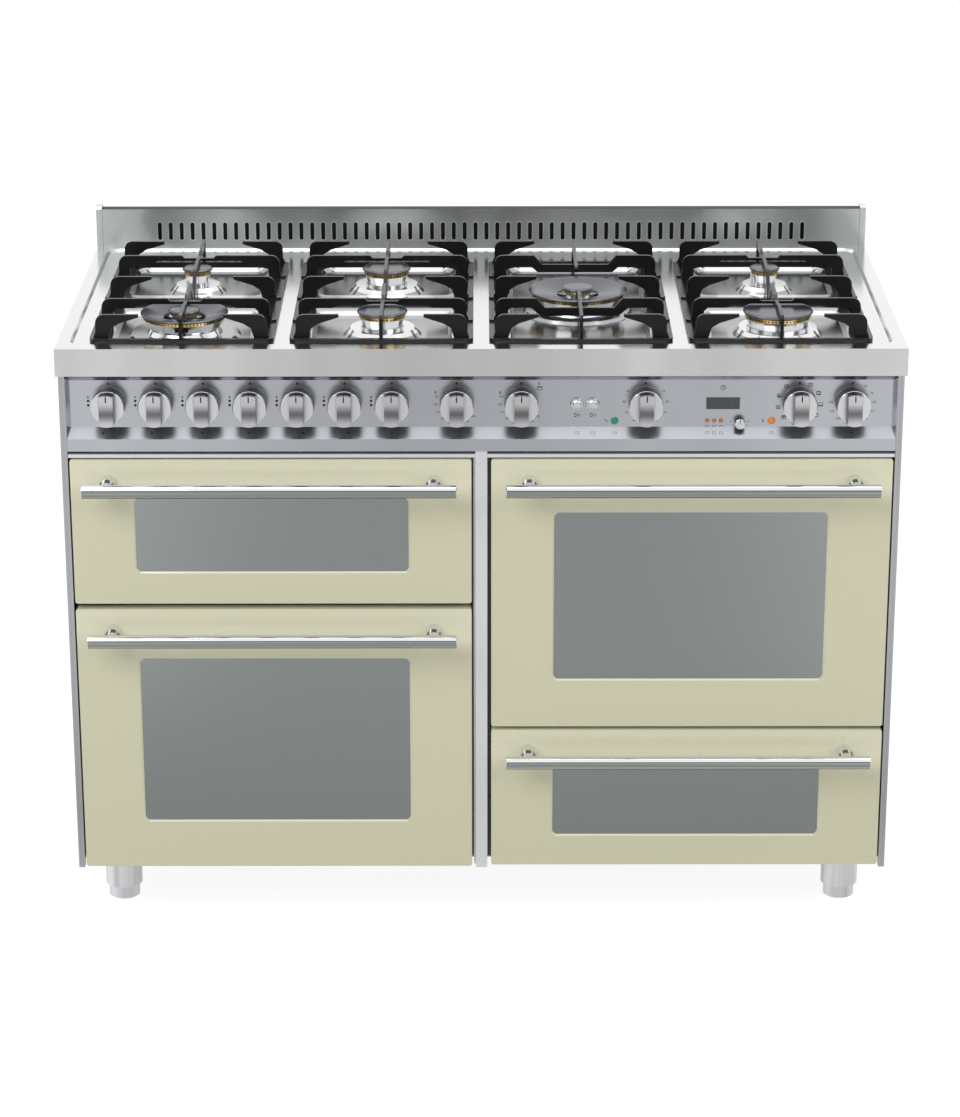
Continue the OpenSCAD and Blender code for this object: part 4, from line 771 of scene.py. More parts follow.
@dataclass
class Pen:
    """Prints marks of a real thickness on a plane, as one mesh."""

    plane: Plane
    thick: float = 0.06 * MM
    mesh: bmesh.types.BMesh = field(default_factory=bmesh.new)

    def dot(self, u: float, v: float, radius: float) -> None:
        """Prints a filled disc.

        Args:
            u: distance to the right.
            v: distance up.
            radius: radius of the disc.
        """
        bmesh.ops.create_cone(self.mesh, cap_ends=True, segments=20, radius1=radius, radius2=radius,
                              depth=self.thick, matrix=Matrix.Translation((u, v, self.thick / 2)))

    def bar(self, start: tuple[float, float], end: tuple[float, float], width: float) -> None:
        """Prints a straight line.

        Args:
            start: one end.
            end: the other end.
            width: width of the line.
        """
        a, b = Vector((*start, 0)), Vector((*end, 0))
        along = b - a
        turn = Matrix.Rotation(math.atan2(along.y, along.x), 4, "Z")
        size = Matrix.Diagonal((along.length + width * 0.5, width, self.thick, 1))
        centre = Matrix.Translation((*middle(a, b).xy, self.thick / 2))
        bmesh.ops.create_cube(self.mesh, size=1.0, matrix=centre @ turn @ size)

    def ring(self, u: float, v: float, radius: float, width: float, start: float = 0.0, sweep: float = 360.0) -> None:
        """Prints a ring or an arc.

        Args:
            u: centre's distance to the right.
            v: centre's distance up.
            radius: radius of the line's middle.
            width: width of the line.
            start: angle of the first end in degrees.
            sweep: angle from end to end in degrees.
        """
        made = flat_ring(self.mesh, radius - width / 2, radius + width / 2, self.thick, start, sweep, 20)
        bmesh.ops.translate(self.mesh, verts=made, vec=(u, v, 0))

    def frame(self, u: float, v: float, width: float, height: float, line: float) -> None:
        """Prints an open rectangle.

        Args:
            u: centre's distance to the right.
            v: centre's distance up.
            width: outer width.
            height: outer height.
            line: width of its lines.
        """
        x, y = width / 2 - line / 2, height / 2 - line / 2
        corners = [(u - x, v - y), (u + x, v - y), (u + x, v + y), (u - x, v + y)]
        for i in range(4):
            self.bar(corners[i], corners[(i + 1) % 4], line)

    def words(self, text: str, u: float, v: float, size: float) -> None:
        """Prints plain digits or signs, centred.

        Args:
            text: what is printed.
            u: centre's distance to the right.
            v: centre's distance up.
            size: height of the type.
        """
        curve = bpy.data.curves.new("type", "FONT")
        curve.body = text
        curve.size = size
        curve.align_x = "CENTER"
        curve.align_y = "CENTER"
        curve.extrude = self.thick / 2
        curve.resolution_u = 3
        holder = bpy.data.objects.new("type", curve)
        bpy.context.scene.collection.objects.link(holder)
        bpy.context.view_layer.update()
        flat = bpy.data.meshes.new_from_object(holder.evaluated_get(bpy.context.evaluated_depsgraph_get()))
        flat.transform(Matrix.Translation((u, v, self.thick / 2)))
        self.mesh.from_mesh(flat)
        bpy.data.objects.remove(holder)
        bpy.data.curves.remove(curve)
        bpy.data.meshes.remove(flat)

    def finished(self) -> bmesh.types.BMesh:
        """Returns the mesh, moved from the plane's axes into the frame."""
        bmesh.ops.transform(self.mesh, matrix=self.plane.matrix, verts=self.mesh.verts)
        return self.mesh


# ---------------------------------------------------------------- sub-assemblies


@dataclass
class Assembly:
    """Sub-assembly of the cooker, which dresses its nodes and builds its own pieces."""

    frame: dict

    def build(self) -> None:
        """Dresses the nodes and adds the pieces; each sub-assembly has its own."""
        raise NotImplementedError

    def node(self, name: str) -> bpy.types.Object:
        """Returns a node's object."""
        return self.frame["nodes"][name]

    def dress(self, finish: Finish, *names: str) -> None:
        """Gives whole nodes a finish.

        Args:
            finish: the finish.
            *names: names of the nodes.
        """
        for name in names:
            slots = self.node(name).data.materials
            slots.clear()
            slots.append(material(finish))
            LOG.info("%s: %s", name, finish.name)

    def dress_faces(self, finish: Finish, name: str, faces: Iterable[int]) -> None:
        """Gives some faces of a dressed node another finish.

        Args:
            finish: the finish.
            name: name of the node.
            faces: numbers of the faces.
        """
        mesh = self.node(name).data
        mesh.materials.append(material(finish))
        slot = len(mesh.materials) - 1
        for index in faces:
            mesh.polygons[index].material_index = slot
        LOG.info("%s: %s on part of it", name, finish.name)

    def faces_where(self, name: str, test: Callable[[Vector, Vector], bool]) -> list[int]:
        """Picks faces of a node by their place and direction.

        Args:
            name: name of the node.
            test: takes a face's centre and normal and says whether it counts.

        Returns:
            Numbers of the faces.
        """
        return [face.index for face in self.node(name).data.polygons if test(face.center, face.normal)]

    def add_piece(self, name: str, mesh: bmesh.types.BMesh, finish: Finish, slot: str,
                  body: str = CABINET) -> bpy.types.Object:
        """Makes an object of a mesh and lets it ride on a body.

        Args:
            name: name of the piece.
            mesh: its mesh, which is used up.
            finish: its finish.
            slot: the record's material slot; not used.
            body: body that carries it.

        Returns:
            The new object.
        """
        data = bpy.data.meshes.new(name)
        mesh.to_mesh(data)
        mesh.free()
        data.materials.append(material(finish))
        piece = bpy.data.objects.new(name, data)
        bpy.context.scene.collection.objects.link(piece)
        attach(piece, body)
        LOG.info("%s: %d faces, on %s", name, len(data.polygons), body)
        return piece


@dataclass
class Worktop(Assembly):
    """Pressed hob top with the slotted upstand behind it."""

    slot_count: int = 60
    slot_pitch: float = 17 * MM
    slot_width: float = 6.3 * MM
    slot_height: float = 28 * MM
    slot_rise: float = 26.23 * MM
    lip_width: float = 1.3 * MM
    lip_height: float = 0.6 * MM
    fold_depth: float = 20 * MM
    rim_depth: float = 6 * MM
    skin: float = 1 * MM
    margin: float = 4 * MM

    def build(self) -> None:
        """Dresses the steel and adds the slots' pressed lips."""
        self.dress(HOB_STEEL, "hob_top")
        low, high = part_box("hob_top")
        self.dress_faces(BAND_STEEL, "hob_top", self.faces_where(
            "hob_top", lambda centre, normal: abs(normal.z) < 0.5 and (
                centre.y < low.y + self.skin or abs(centre.x) > high.x - self.skin)))
        # Painted shade on the upward faces of the wells below the rim.
        self.dress_faces(WELL_SHADE_STEEL, "hob_top", self.faces_where(
            "hob_top", lambda centre, normal: normal.z > 0.3 and centre.z < high.z - self.rim_depth))
        self.dress(UPSTAND_STEEL, "upstand")
        _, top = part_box("upstand")
        # Painted shade on the faces inside the upstand, behind the slots.
        self.dress_faces(SLOT_SHADE, "upstand", self.faces_where("upstand", lambda centre, normal: (
            high.y - self.fold_depth + self.skin / 2 < centre.y < high.y - self.skin / 2
            and centre.z < top.z - self.margin and abs(centre.x) < top.x - self.margin)))
        self.add_lips()

    def add_lips(self) -> None:
        """Adds the narrow raised lip round each flue slot, paler than the upstand as a painted highlight."""
        low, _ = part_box("upstand")
        _, hob_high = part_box("hob_top")
        face_y = hob_high.y - self.fold_depth
        mesh = bmesh.new()
        half = self.slot_width / 2
        straight = self.slot_height / 2 - half
        for index in range(self.slot_count):
            across = (index - (self.slot_count - 1) / 2) * self.slot_pitch
            ring = flat_ring(mesh, half, half + self.lip_width, self.lip_height, steps=16)
            for vertex in ring:
                vertex.co.y += math.copysign(straight, vertex.co.y) if abs(vertex.co.y) > 1e-6 else straight
            plane = Plane(Vector((across, face_y, low.z + self.slot_rise)), Vector((1, 0, 0)), Vector((0, 0, 1)))
            bmesh.ops.transform(mesh, matrix=plane.matrix, verts=ring)
        self.add_piece("flue_slot_lips", mesh, LIP_HIGHLIGHT_STEEL, "satin_steel")


@dataclass
class Burners(Assembly):
    """Seven burners: alloy bodies, brass flame rings, dark caps and spark electrodes."""

    tip_radius: float = 0.7 * MM
    tip_length: float = 5 * MM

    def build(self) -> None:
        """Dresses each solid and adds the electrodes' steel tips."""
        self.dress(BURNER_ALLOY, "burner_bodies")
        self.dress(CAP_ENAMEL, "burner_caps")
        electrodes = [solid for solid in islands(self.node("burner_bodies")) if solid.size.x < 8 * MM]
        self.dress_faces(CERAMIC, "burner_bodies", [face for solid in electrodes for face in solid.faces])
        self.dress(MANIFOLD_BRASS, "burner_rings")
        for number, ring in enumerate(islands(self.node("burner_rings"))):
            radius = ring.size.x / 2
            finish = PortedBrass(f"flame ring {number + 1}", (226, 190, 116), centre=tuple(ring.centre), radius=radius)
            self.dress_faces(finish, "burner_rings", ring.faces)
        self.add_tips(electrodes)

    def add_tips(self, electrodes: list[Island]) -> None:
        """Adds a short tapered wire tip to each electrode.

        Args:
            electrodes: the ceramic bodies.
        """
        mesh = bmesh.new()
        for solid in electrodes:
            top = Vector((*solid.centre.xy, solid.high.z))
            bmesh.ops.create_cone(mesh, cap_ends=True, segments=10, radius1=self.tip_radius * 1.3,
                                  radius2=self.tip_radius, depth=self.tip_length * 0.5,
                                  matrix=Matrix.Translation(top + Vector((0, 0, self.tip_length * 0.25))))
        self.add_piece("electrode_tips", mesh, RACK_CHROME, "chrome")


@dataclass
class PanSupports(Assembly):
    """Four cast iron pan supports."""

    def build(self) -> None:
        """Dresses the castings, with lighter, smoother iron on their upward faces, the lighter colour a painted
        highlight.
        """
        for name in (f"pan_support_{number}" for number in range(1, 5)):
            self.dress(GRATE_IRON, name)
            # Painted highlight on faces that look up.
            self.dress_faces(GRATE_TOP_HIGHLIGHT, name, self.faces_where(name, lambda centre, normal: normal.z > 0.5))


class OvenMode(Enum):
    """Signs round the oven's function selector, in their order round the dial."""

    LIGHT = "light"
    TOP_AND_BOTTOM = "top and bottom"
    BOTTOM = "bottom"
    TOP = "top"
    SMALL_GRILL = "small grill"
    LARGE_GRILL = "large grill"
    FAN_GRILL = "fan grill"
    FAN = "fan"
    FAN_BOTTOM = "fan bottom"
    DEFROST = "defrost"


@dataclass(frozen=True)
class Dial:
    """Printed scale round a knob: labels at equal steps, clockwise from a first angle."""

    knob: str
    labels: tuple[str, ...]
    first: float
    step: float
    radius: float = 30.5 * MM
    size: float = 4.6 * MM

    def places(self) -> list[tuple[str, float, float]]:
        """Returns each label with its place to the right of and above the knob's axis."""
        turns = (math.radians(self.first + self.step * i) for i in range(len(self.labels)))
        return [(label, self.radius * math.sin(turn), self.radius * math.cos(turn))
                for label, turn in zip(self.labels, turns)]


OVEN_SCALE = ("130", "150", "170", "180", "200", "220", "240", "260")
DIALS = (
    Dial("knob_gas_oven", OVEN_SCALE, -72, -22.5),
    Dial("knob_grill", OVEN_SCALE, -72, -22.5),
    Dial("knob_timer", ("10", "20", "30", "40", "50", "60", "70", "80", "90"), 56, 31),
    Dial("knob_thermostat", ("50", "75", "100", "125", "140", "160", "180", "200", "225", "250"), 37, 26),
)


@dataclass
class ControlPanel(Assembly):
    """Steel control panel with its knobs, buttons, lamps, clock window and print."""

    knob_z: float = 815 * MM
    face_inset: float = 14 * MM
    ledge_foot: float = 18.1 * MM
    ledge_rise: float = 14 * MM
    off_radius: float = 28.6 * MM
    dot_radius: float = 1.7 * MM
    line: float = 0.75 * MM
    grip_depth: float = 3 * MM
    edge_slope: float = 0.4
    groove_depths: tuple[float, float] = (0.2 * MM, 1.0 * MM)
    groove_half: float = 1.0 * MM
    bezel_widths: tuple[float, float] = (15 * MM, 22 * MM)
    lens_depth: float = 3.4 * MM
    led_width: float = 10 * MM
    lamp_width: float = 20 * MM
    display_width: float = 30 * MM
    stop_offset: float = 29.5 * MM
    clock_sign: tuple[float, float] = (342.3 * MM, 22.2 * MM)
    display_centre: tuple[float, float] = (342.6 * MM, 814.2 * MM)
    digit_columns: tuple[float, ...] = (-12.5 * MM, -4.8 * MM, 4.8 * MM, 12.5 * MM)
    digit_half: tuple[float, float] = (2.2 * MM, 3.6 * MM)
    digit_line: float = 0.7 * MM
    digit_thick: float = 0.03 * MM
    flame_radius: float = 1.1 * MM
    flame_drop: float = 0.6 * MM
    flame_half: float = 1.0 * MM
    flame_tip: float = 2.0 * MM
    grill_sign: tuple[float, float] = (7 * MM, 5.6 * MM)
    grill_roof: tuple[float, float] = (2.2 * MM, 1.4 * MM)
    mode_sign: tuple[float, float] = (6.4 * MM, 5.4 * MM)
    mode_half: tuple[float, float] = (2.0 * MM, 1.7 * MM)
    fan_half: float = 1.1 * MM
    clock_radius: float = 3.3 * MM
    minute_hand: float = 2.2 * MM
    hour_hand: float = 1.6 * MM
    dial_radius: float = 10.6 * MM
    led_sign: tuple[float, float] = (5.4 * MM, 3 * MM)
    led_sign_drop: float = 9 * MM
    button_sign_v: float = -18 * MM
    lamp_sign_offset: float = 12 * MM
    ledge_share: float = 0.7
    burner_signs: tuple[float, ...] = (-9 * MM, -7 * MM, -2.5 * MM, -2.5 * MM, 8 * MM, 5 * MM, 0.0)
    gas_knobs: tuple[str, ...] = tuple(f"knob_gas_{number}" for number in range(1, 8))
    big_knobs: tuple[str, ...] = ("knob_gas_oven", "knob_grill", "knob_timer", "knob_selector", "knob_thermostat")

    def build(self) -> None:
        """Dresses the panel and its controls, and prints the marks."""
        self.dress(PANEL_STEEL, "control_panel")
        self.dress(KNOB_SATIN, "light_button", "ignition_button")
        for name in (*self.gas_knobs, *self.big_knobs, "knob_clock"):
            self.dress_knob(name)
        self.dress(DARK_PLASTIC, "control_switches")
        least, most = self.bezel_widths
        bezels = [solid for solid in islands(self.node("control_switches")) if least < solid.size.x < most]
        self.dress_faces(CHROME, "control_switches", [face for solid in bezels for face in solid.faces])
        self.dress_lamps()
        self.dress(MANIFOLD_BRASS, "gas_train")
        self.print_face()
        self.print_ledge()
        self.add_digits()

    def axis_x(self, name: str) -> float:
        """Finds the axis of a control.

        Args:
            name: name of the control.

        Returns:
            X of the axis.
        """
        return middle(*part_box(name)).x

    def dress_knob(self, name: str) -> None:
        """Dresses a knob in satin metal with painted side shade, a greyer grip with painted shade on a large one, and
        an inked pointer.

        Args:
            name: name of the knob.
        """
        self.dress(KNOB_SATIN, name)
        # Painted shade: faces that look sideways get the dark finish.
        self.dress_faces(KNOB_SIDE_SHADE, name, self.faces_where(
            name, lambda centre, normal: abs(normal.y) < self.edge_slope))
        if name != "knob_clock":
            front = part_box(name)[0].y + self.grip_depth
            # The grip carries a painted dark band of shade.
            self.dress_faces(KNOB_GRIP_SHADED, name, self.faces_where(
                name, lambda centre, normal: normal.y < -self.edge_slope and centre.y < front))
        self.darken_pointer(name)

    def darken_pointer(self, name: str) -> None:
        """Fills the floor of a knob's pointer groove with ink.

        Args:
            name: name of the knob.
        """
        low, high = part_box(name)
        axis = middle(low, high)
        least, most = self.groove_depths
        faces = self.faces_where(name, lambda centre, normal: (
            normal.y < -0.9 and low.y + least < centre.y < low.y + most
            and abs(centre.x - axis.x) < self.groove_half and centre.z > axis.z))
        self.dress_faces(INK, name, faces)

    def dress_lamps(self) -> None:
        """Gives the clock window, the two lamps and the three small lamps their lenses."""
        self.dress(DARK_PLASTIC, "indicators")
        lamps = sorted(islands(self.node("indicators")), key=lambda solid: solid.centre.x)
        for solid in lamps:
            front = [face for face in solid.faces
                     if self.node("indicators").data.polygons[face].center.y < solid.low.y + self.lens_depth]
            if solid.size.x > self.display_width:
                self.dress_faces(DISPLAY_GLASS, "indicators", front)
            elif solid.size.x < self.led_width:
                self.dress_faces(LED_LENS, "indicators", front)
            else:
                self.dress_faces(GREEN_LENS if solid is lamps[0] else AMBER_LENS, "indicators", front)

    def face_plane(self, x: float, z: float) -> Plane:
        """Lays a plane on the panel's face.

        Args:
            x: X of its origin.
            z: Z of its origin.

        Returns:
            The plane.
        """
        low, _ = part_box("control_panel")
        return Plane(Vector((x, low.y + self.face_inset, z)), Vector((1, 0, 0)), Vector((0, 0, 1)))

    def ledge_plane(self, x: float) -> Plane:
        """Lays a plane on the sloping ledge, with its origin at the ledge's lower edge.

        Args:
            x: X of its origin.

        Returns:
            The plane.
        """
        low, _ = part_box("control_panel")
        slope = Vector((0, self.face_inset, self.ledge_rise)).normalized()
        return Plane(Vector((x, low.y, low.z + self.ledge_foot)), Vector((1, 0, 0)), slope)

    def print_face(self) -> None:
        """Prints the marks on the flat face."""
        pen = Pen(self.face_plane(0.0, self.knob_z))
        for name in (*self.gas_knobs, *self.big_knobs):
            pen.dot(self.axis_x(name), self.off_radius, self.dot_radius)
        for name in self.gas_knobs:
            self.print_flames(pen, self.axis_x(name))
        for dial in DIALS:
            x = self.axis_x(dial.knob)
            for label, right, up in dial.places():
                pen.words(label, x + right, up, dial.size)
        for name in ("knob_gas_oven", "knob_grill"):
            self.print_flame(pen, self.axis_x(name) - 30 * MM, 15.5 * MM, 1.0)
        self.print_grill(pen, self.axis_x("knob_grill") + 26 * MM, 21.5 * MM)
        self.print_modes(pen, self.axis_x("knob_selector"))
        self.print_clock(pen)
        self.print_button_signs(pen)
        self.add_piece("face_print", pen.finished(), INK, "dark_plastic")

    def print_flames(self, pen: Pen, x: float) -> None:
        """Prints a gas knob's flame sign and its two stops.

        Args:
            pen: pen on the panel's face.
            x: the knob's axis.
        """
        left = x - self.stop_offset
        self.print_flame(pen, left, 9.0 * MM, 0.8)
        for up in (3.4 * MM, -3.0 * MM):
            pen.dot(left, up, 1.9 * MM)

    def print_flame(self, pen: Pen, u: float, v: float, scale: float) -> None:
        """Prints a small flame.

        Args:
            pen: pen that draws it.
            u: distance to the right.
            v: distance up.
            scale: size against a flame 4 mm high.
        """
        pen.ring(u, v - self.flame_drop * scale, self.flame_radius * scale, self.line, 150, 240)
        for side in (-1, 1):
            foot = (u + side * self.flame_half * scale, v - 0.1 * MM)
            pen.bar(foot, (u, v + self.flame_tip * scale), self.line)

    def print_grill(self, pen: Pen, u: float, v: float) -> None:
        """Prints an oven with a flame under its roof.

        Args:
            pen: pen that draws it.
            u: distance to the right.
            v: distance up.
        """
        half, rise = self.grill_roof
        pen.frame(u, v, *self.grill_sign, self.line)
        pen.bar((u - half, v + rise), (u + half, v + rise), self.line)
        self.print_flame(pen, u - 1 * MM, v + 7 * MM, 0.8)

    def print_modes(self, pen: Pen, x: float) -> None:
        """Prints the oven modes round the selector.

        Args:
            pen: pen on the panel's face.
            x: the selector's axis.
        """
        dial = Dial("knob_selector", tuple(mode.value for mode in OvenMode), 30, 32.5)
        for mode, (_, right, up) in zip(OvenMode, dial.places()):
            self.print_mode(pen, mode, x + right, up)

    def print_mode(self, pen: Pen, mode: OvenMode, u: float, v: float) -> None:
        """Prints one oven mode: an outline with its heat or fan marked.

        Args:
            pen: pen that draws it.
            mode: the mode.
            u: distance to the right.
            v: distance up.
        """
        pen.frame(u, v, *self.mode_sign, self.line)
        side, rise = self.mode_half
        top, bottom, heavy = v + rise, v - rise, self.line * 1.6
        if mode in (OvenMode.TOP, OvenMode.TOP_AND_BOTTOM, OvenMode.LARGE_GRILL, OvenMode.FAN_GRILL):
            pen.bar((u - side, top), (u + side, top), heavy)
        if mode in (OvenMode.BOTTOM, OvenMode.TOP_AND_BOTTOM, OvenMode.FAN_BOTTOM):
            pen.bar((u - side, bottom), (u + side, bottom), heavy)
        if mode is OvenMode.SMALL_GRILL:
            pen.bar((u - side / 2, top), (u + side / 2, top), heavy)
        if mode in (OvenMode.FAN, OvenMode.FAN_BOTTOM, OvenMode.FAN_GRILL, OvenMode.DEFROST):
            for lift in (self.fan_half, -self.fan_half):
                pen.bar((u - self.fan_half, v - lift), (u + self.fan_half, v + lift), self.line)
        if mode is OvenMode.LIGHT:
            pen.ring(u, v + 0.3 * MM, 1.0 * MM, self.line)

    def print_clock(self, pen: Pen) -> None:
        """Prints the clock sign, the signs under the small lamps and the + and - of the small knob.

        Args:
            pen: pen on the panel's face.
        """
        clock_x, up = self.clock_sign
        pen.ring(clock_x, up, self.clock_radius, self.line)
        pen.bar((clock_x, up), (clock_x, up + self.minute_hand), self.line)
        pen.bar((clock_x, up), (clock_x + self.hour_hand, up), self.line)
        knob_x = self.axis_x("knob_clock")
        knob_v = middle(*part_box("knob_clock")).z - self.knob_z
        pen.words("+", knob_x - 12.5 * MM, knob_v + 1 * MM, 5.5 * MM)
        pen.bar((knob_x + 10.8 * MM, knob_v + 1 * MM), (knob_x + 13.8 * MM, knob_v + 1 * MM), self.line)
        for start in (200, 300):
            pen.ring(knob_x, knob_v, self.dial_radius, self.line, start, 40)
        for solid in islands(self.node("indicators")):
            if solid.size.x < self.led_width:
                v = solid.centre.z - self.knob_z - self.led_sign_drop
                pen.frame(solid.centre.x, v, *self.led_sign, self.line)

    def print_button_signs(self, pen: Pen) -> None:
        """Prints the signs under the two buttons and beside the two lamps.

        Args:
            pen: pen on the panel's face.
        """
        below = self.button_sign_v
        for name in ("light_button", "ignition_button"):
            x = self.axis_x(name)
            foot, top, tip = (x - 3 * MM, below - 3 * MM), (x - 3 * MM, below + 3 * MM), (x + 2 * MM, below)
            for start, end in ((foot, top), (top, tip), (foot, tip)):
                pen.bar(start, end, self.line)
            pen.bar((x + 4 * MM, below - 2 * MM), (x + 4 * MM, below + 2 * MM), self.line)
        lamps = [solid for solid in islands(self.node("indicators"))
                 if self.led_width < solid.size.x < self.lamp_width]
        for solid in lamps:
            u, v = solid.centre.x - self.lamp_sign_offset, solid.centre.z - self.knob_z
            if solid is min(lamps, key=lambda lamp: lamp.centre.x):
                pen.ring(u - 1.3 * MM, v, 1.3 * MM, self.line, 0, 180)
                pen.ring(u + 1.3 * MM, v, 1.3 * MM, self.line, 180, 180)
            else:
                pen.dot(u, v - 1.6 * MM, 1.0 * MM)
                pen.bar((u, v - 1.2 * MM), (u, v + 2.4 * MM), self.line * 1.5)

    def print_ledge(self) -> None:
        """Prints a burner's place under each gas knob, and a faint sign under each lamp and button."""
        pen = Pen(self.ledge_plane(0.0))
        middle_v = self.face_inset * self.ledge_share
        for name, shift in zip(self.gas_knobs, self.burner_signs):
            pen.dot(self.axis_x(name) + shift, middle_v, self.dot_radius)
        pen.dot(self.axis_x("knob_thermostat"), middle_v, self.dot_radius)
        self.add_piece("ledge_print", pen.finished(), INK, "dark_plastic")
        faint = Pen(self.ledge_plane(0.0))
        for solid in islands(self.node("indicators")):
            if solid.size.x < self.lamp_width:
                faint.frame(solid.centre.x, middle_v, 5.6 * MM, 4.2 * MM, self.line)
        for name in ("light_button", "ignition_button"):
            faint.frame(self.axis_x(name), middle_v, 6 * MM, 4.4 * MM, self.line)
        self.add_piece("ledge_signs", faint.finished(), FADED_INK, "dark_plastic")

    def add_digits(self) -> None:
        """Adds the clock's four unlit digits behind its window's face."""
        display = max(islands(self.node("indicators")), key=lambda solid: solid.size.x)
        x, z = self.display_centre
        pen = Pen(Plane(Vector((x, display.low.y, z)), Vector((1, 0, 0)), Vector((0, 0, 1))), thick=self.digit_thick)
        half_width, half_height = self.digit_half
        for u in self.digit_columns:
            for v in (-half_height, 0.0, half_height):
                pen.bar((u - 1.5 * MM, v), (u + 1.5 * MM, v), self.digit_line)
            for side in (-half_width, half_width):
                for v in (-half_height / 2, half_height / 2):
                    pen.bar((u + side, v - 1.1 * MM), (u + side, v + 1.1 * MM), self.digit_line)
        for v in (-1.6 * MM, 1.6 * MM):
            pen.dot(0, v, 0.5 * MM)
        self.add_piece("clock_digits", pen.finished(), DIGIT, "lamp_plastic")


@dataclass
class Doors(Assembly):
    """Three drop-down oven doors and the drawer."""

    bar_depth: float = 19.5 * MM
    flank: float = 0.26
    underside: float = -0.72
    names: tuple[str, ...] = ("grill_door", "gas_oven_door", "electric_oven_door")

    def build(self) -> None:
        """Dresses the fronts, panes, liners and handles."""
        for name in self.names:
            self.dress_front(f"{name}_panel")
            self.dress(OVEN_GLASS, f"{name}_glass")
            self.dress(SHEET_STEEL, f"{name}_liner")
            self.dress_bar(f"{name}_handle")
        self.dress_front("drawer_front")
        self.dress(OVEN_GLASS, "drawer_glass")
        self.dress(SHEET_STEEL, "drawer_box", "drawer_runners")
        self.dress_bar("drawer_handle")

    def dress_front(self, name: str) -> None:
        """Dresses an enamelled front, with a painted sheen on its upper part and a painted highlight on its upward
        faces, such as its upper edge and the window's sill.

        Args:
            name: name of the front.
        """
        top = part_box(name)[1].z
        # The front's material carries the painted sheen towards its top.
        self.dress(replace(CREAM_ENAMEL, name=f"{CREAM_ENAMEL.name} of the {name}", sheen_top_z=top), name)
        # Painted highlight on faces that look up.
        self.dress_faces(CREAM_HIGHLIGHT, name, self.faces_where(name, lambda centre, normal: normal.z > 0.5))

    def dress_bar(self, name: str) -> None:
        """Dresses a chrome bar with painted reflection and shade: greyer on its lower flank and dark underneath, as it
        would mirror the door's shade.

        Args:
            name: name of the handle.
        """
        self.dress(CHROME, name)
        low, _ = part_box(name)
        back = low.y + self.bar_depth
        # Painted reflection: the lower flank is greyer and the underside dark.
        for finish, least, most in ((BAR_FLANK_REFLECTION, self.underside, self.flank), (BAR_UNDERSIDE, -1.0, self.underside)):
            self.dress_faces(finish, name, self.faces_where(name, lambda centre, normal: (
                centre.y < back and abs(normal.x) < 0.5 and least <= normal.z < most)))


@dataclass
class Ovens(Assembly):
    """Enamelled cavities with their racks, elements, fan and gaskets."""

    def build(self) -> None:
        """Dresses the insides."""
        self.dress(OVEN_ENAMEL, "grill_cavity", "gas_oven_cavity", "electric_oven_cavity", "fan_cover", "front_frame")
        self.dress(RACK_CHROME, "oven_racks")
        self.dress(SHEATH, "heating_elements")
        self.dress(SHEET_STEEL, "fan_blade")
        self.dress(GASKET_RUBBER, "oven_seals")


@dataclass
class Cabinet(Assembly):
    """Side, back and bottom panels, trims, feet and what is behind the cooker."""

    screw_radius: float = 4.2 * MM
    screw_rise: float = 1.8 * MM
    screw_inset: float = 14 * MM
    screw_rows: int = 5
    screw_columns: int = 9

    def build(self) -> None:
        """Dresses the panels and adds the back panel's screws."""
        self.dress(SIDE_STEEL, "side_panels")
        self.dress(TRIM_STEEL, "front_trim")
        self.dress(SHEET_STEEL, "back_panel", "base_plate")
        self.dress(FOOT_STEEL, "feet")
        self.dress(DARK_PLASTIC, "rear_electrics")
        self.add_screws()

    def add_screws(self) -> None:
        """Adds pan-head screws down both edges of the back panel and along its foot."""
        low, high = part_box("back_panel")
        flat = [face for face in self.node("back_panel").data.polygons
                if face.normal.y > 0.9 and abs(face.center.x) > high.x * 0.7]
        back = min(face.center.y for face in flat)
        left, right = low.x + self.screw_inset, high.x - self.screw_inset
        bottom, top = low.z + self.screw_inset, high.z - self.screw_inset * 2
        rise = (top - bottom) / (self.screw_rows - 1)
        step = (right - left) / (self.screw_columns - 1)
        places = [(x, bottom + rise * row) for x in (left, right) for row in range(self.screw_rows)]
        places += [(left + step * column, bottom) for column in range(1, self.screw_columns - 1)]
        mesh = bmesh.new()
        for x, z in places:
            self.add_screw(mesh, Plane(Vector((x, back, z)), Vector((-1, 0, 0)), Vector((0, 0, 1))))
        self.add_piece("back_panel_screws", mesh, RACK_CHROME, "chrome")

    def add_screw(self, mesh: bmesh.types.BMesh, plane: Plane) -> None:
        """Adds one pan-head screw with a rounded rim.

        Args:
            mesh: mesh that receives it.
            plane: place of the head's foot.
        """
        head = bmesh.ops.create_cone(
            mesh, cap_ends=True, segments=20, radius1=self.screw_radius, radius2=self.screw_radius,
            depth=self.screw_rise, matrix=plane.matrix @ Matrix.Translation((0, 0, self.screw_rise / 2)))["verts"]
        outward = plane.matrix.to_3x3() @ Vector((0, 0, 1))
        rim = dict.fromkeys(
            edge for vertex in head for edge in vertex.link_edges
            if all((end.co - plane.origin).dot(outward) > self.screw_rise * 0.9 for end in edge.verts))
        bmesh.ops.bevel(mesh, geom=list(rim), offset=self.screw_rise * 0.5, affect="EDGES", segments=3, profile=0.5,
                        material=-1)


# ---------------------------------------------------------------- studio


@dataclass(frozen=True)
class SoftBox:
    """Soft rectangular lamp that looks at a point."""

    name: str
    place: tuple[float, float, float]
    target: tuple[float, float, float]
    width: float
    height: float
    power: float


SOFT_BOXES = (
    SoftBox("key softbox", (-2.1, -3.0, 3.3), (0.0, 0.0, 0.6), 2.4, 2.0, 62.0),
    SoftBox("fill softbox", (2.8, -3.2, 2.2), (0.0, 0.0, 0.5), 2.4, 2.4, 34.0),
    SoftBox("overhead softbox", (0.0, 0.4, 3.4), (0.0, 0.2, 0.9), 3.0, 1.8, 26.0),
)


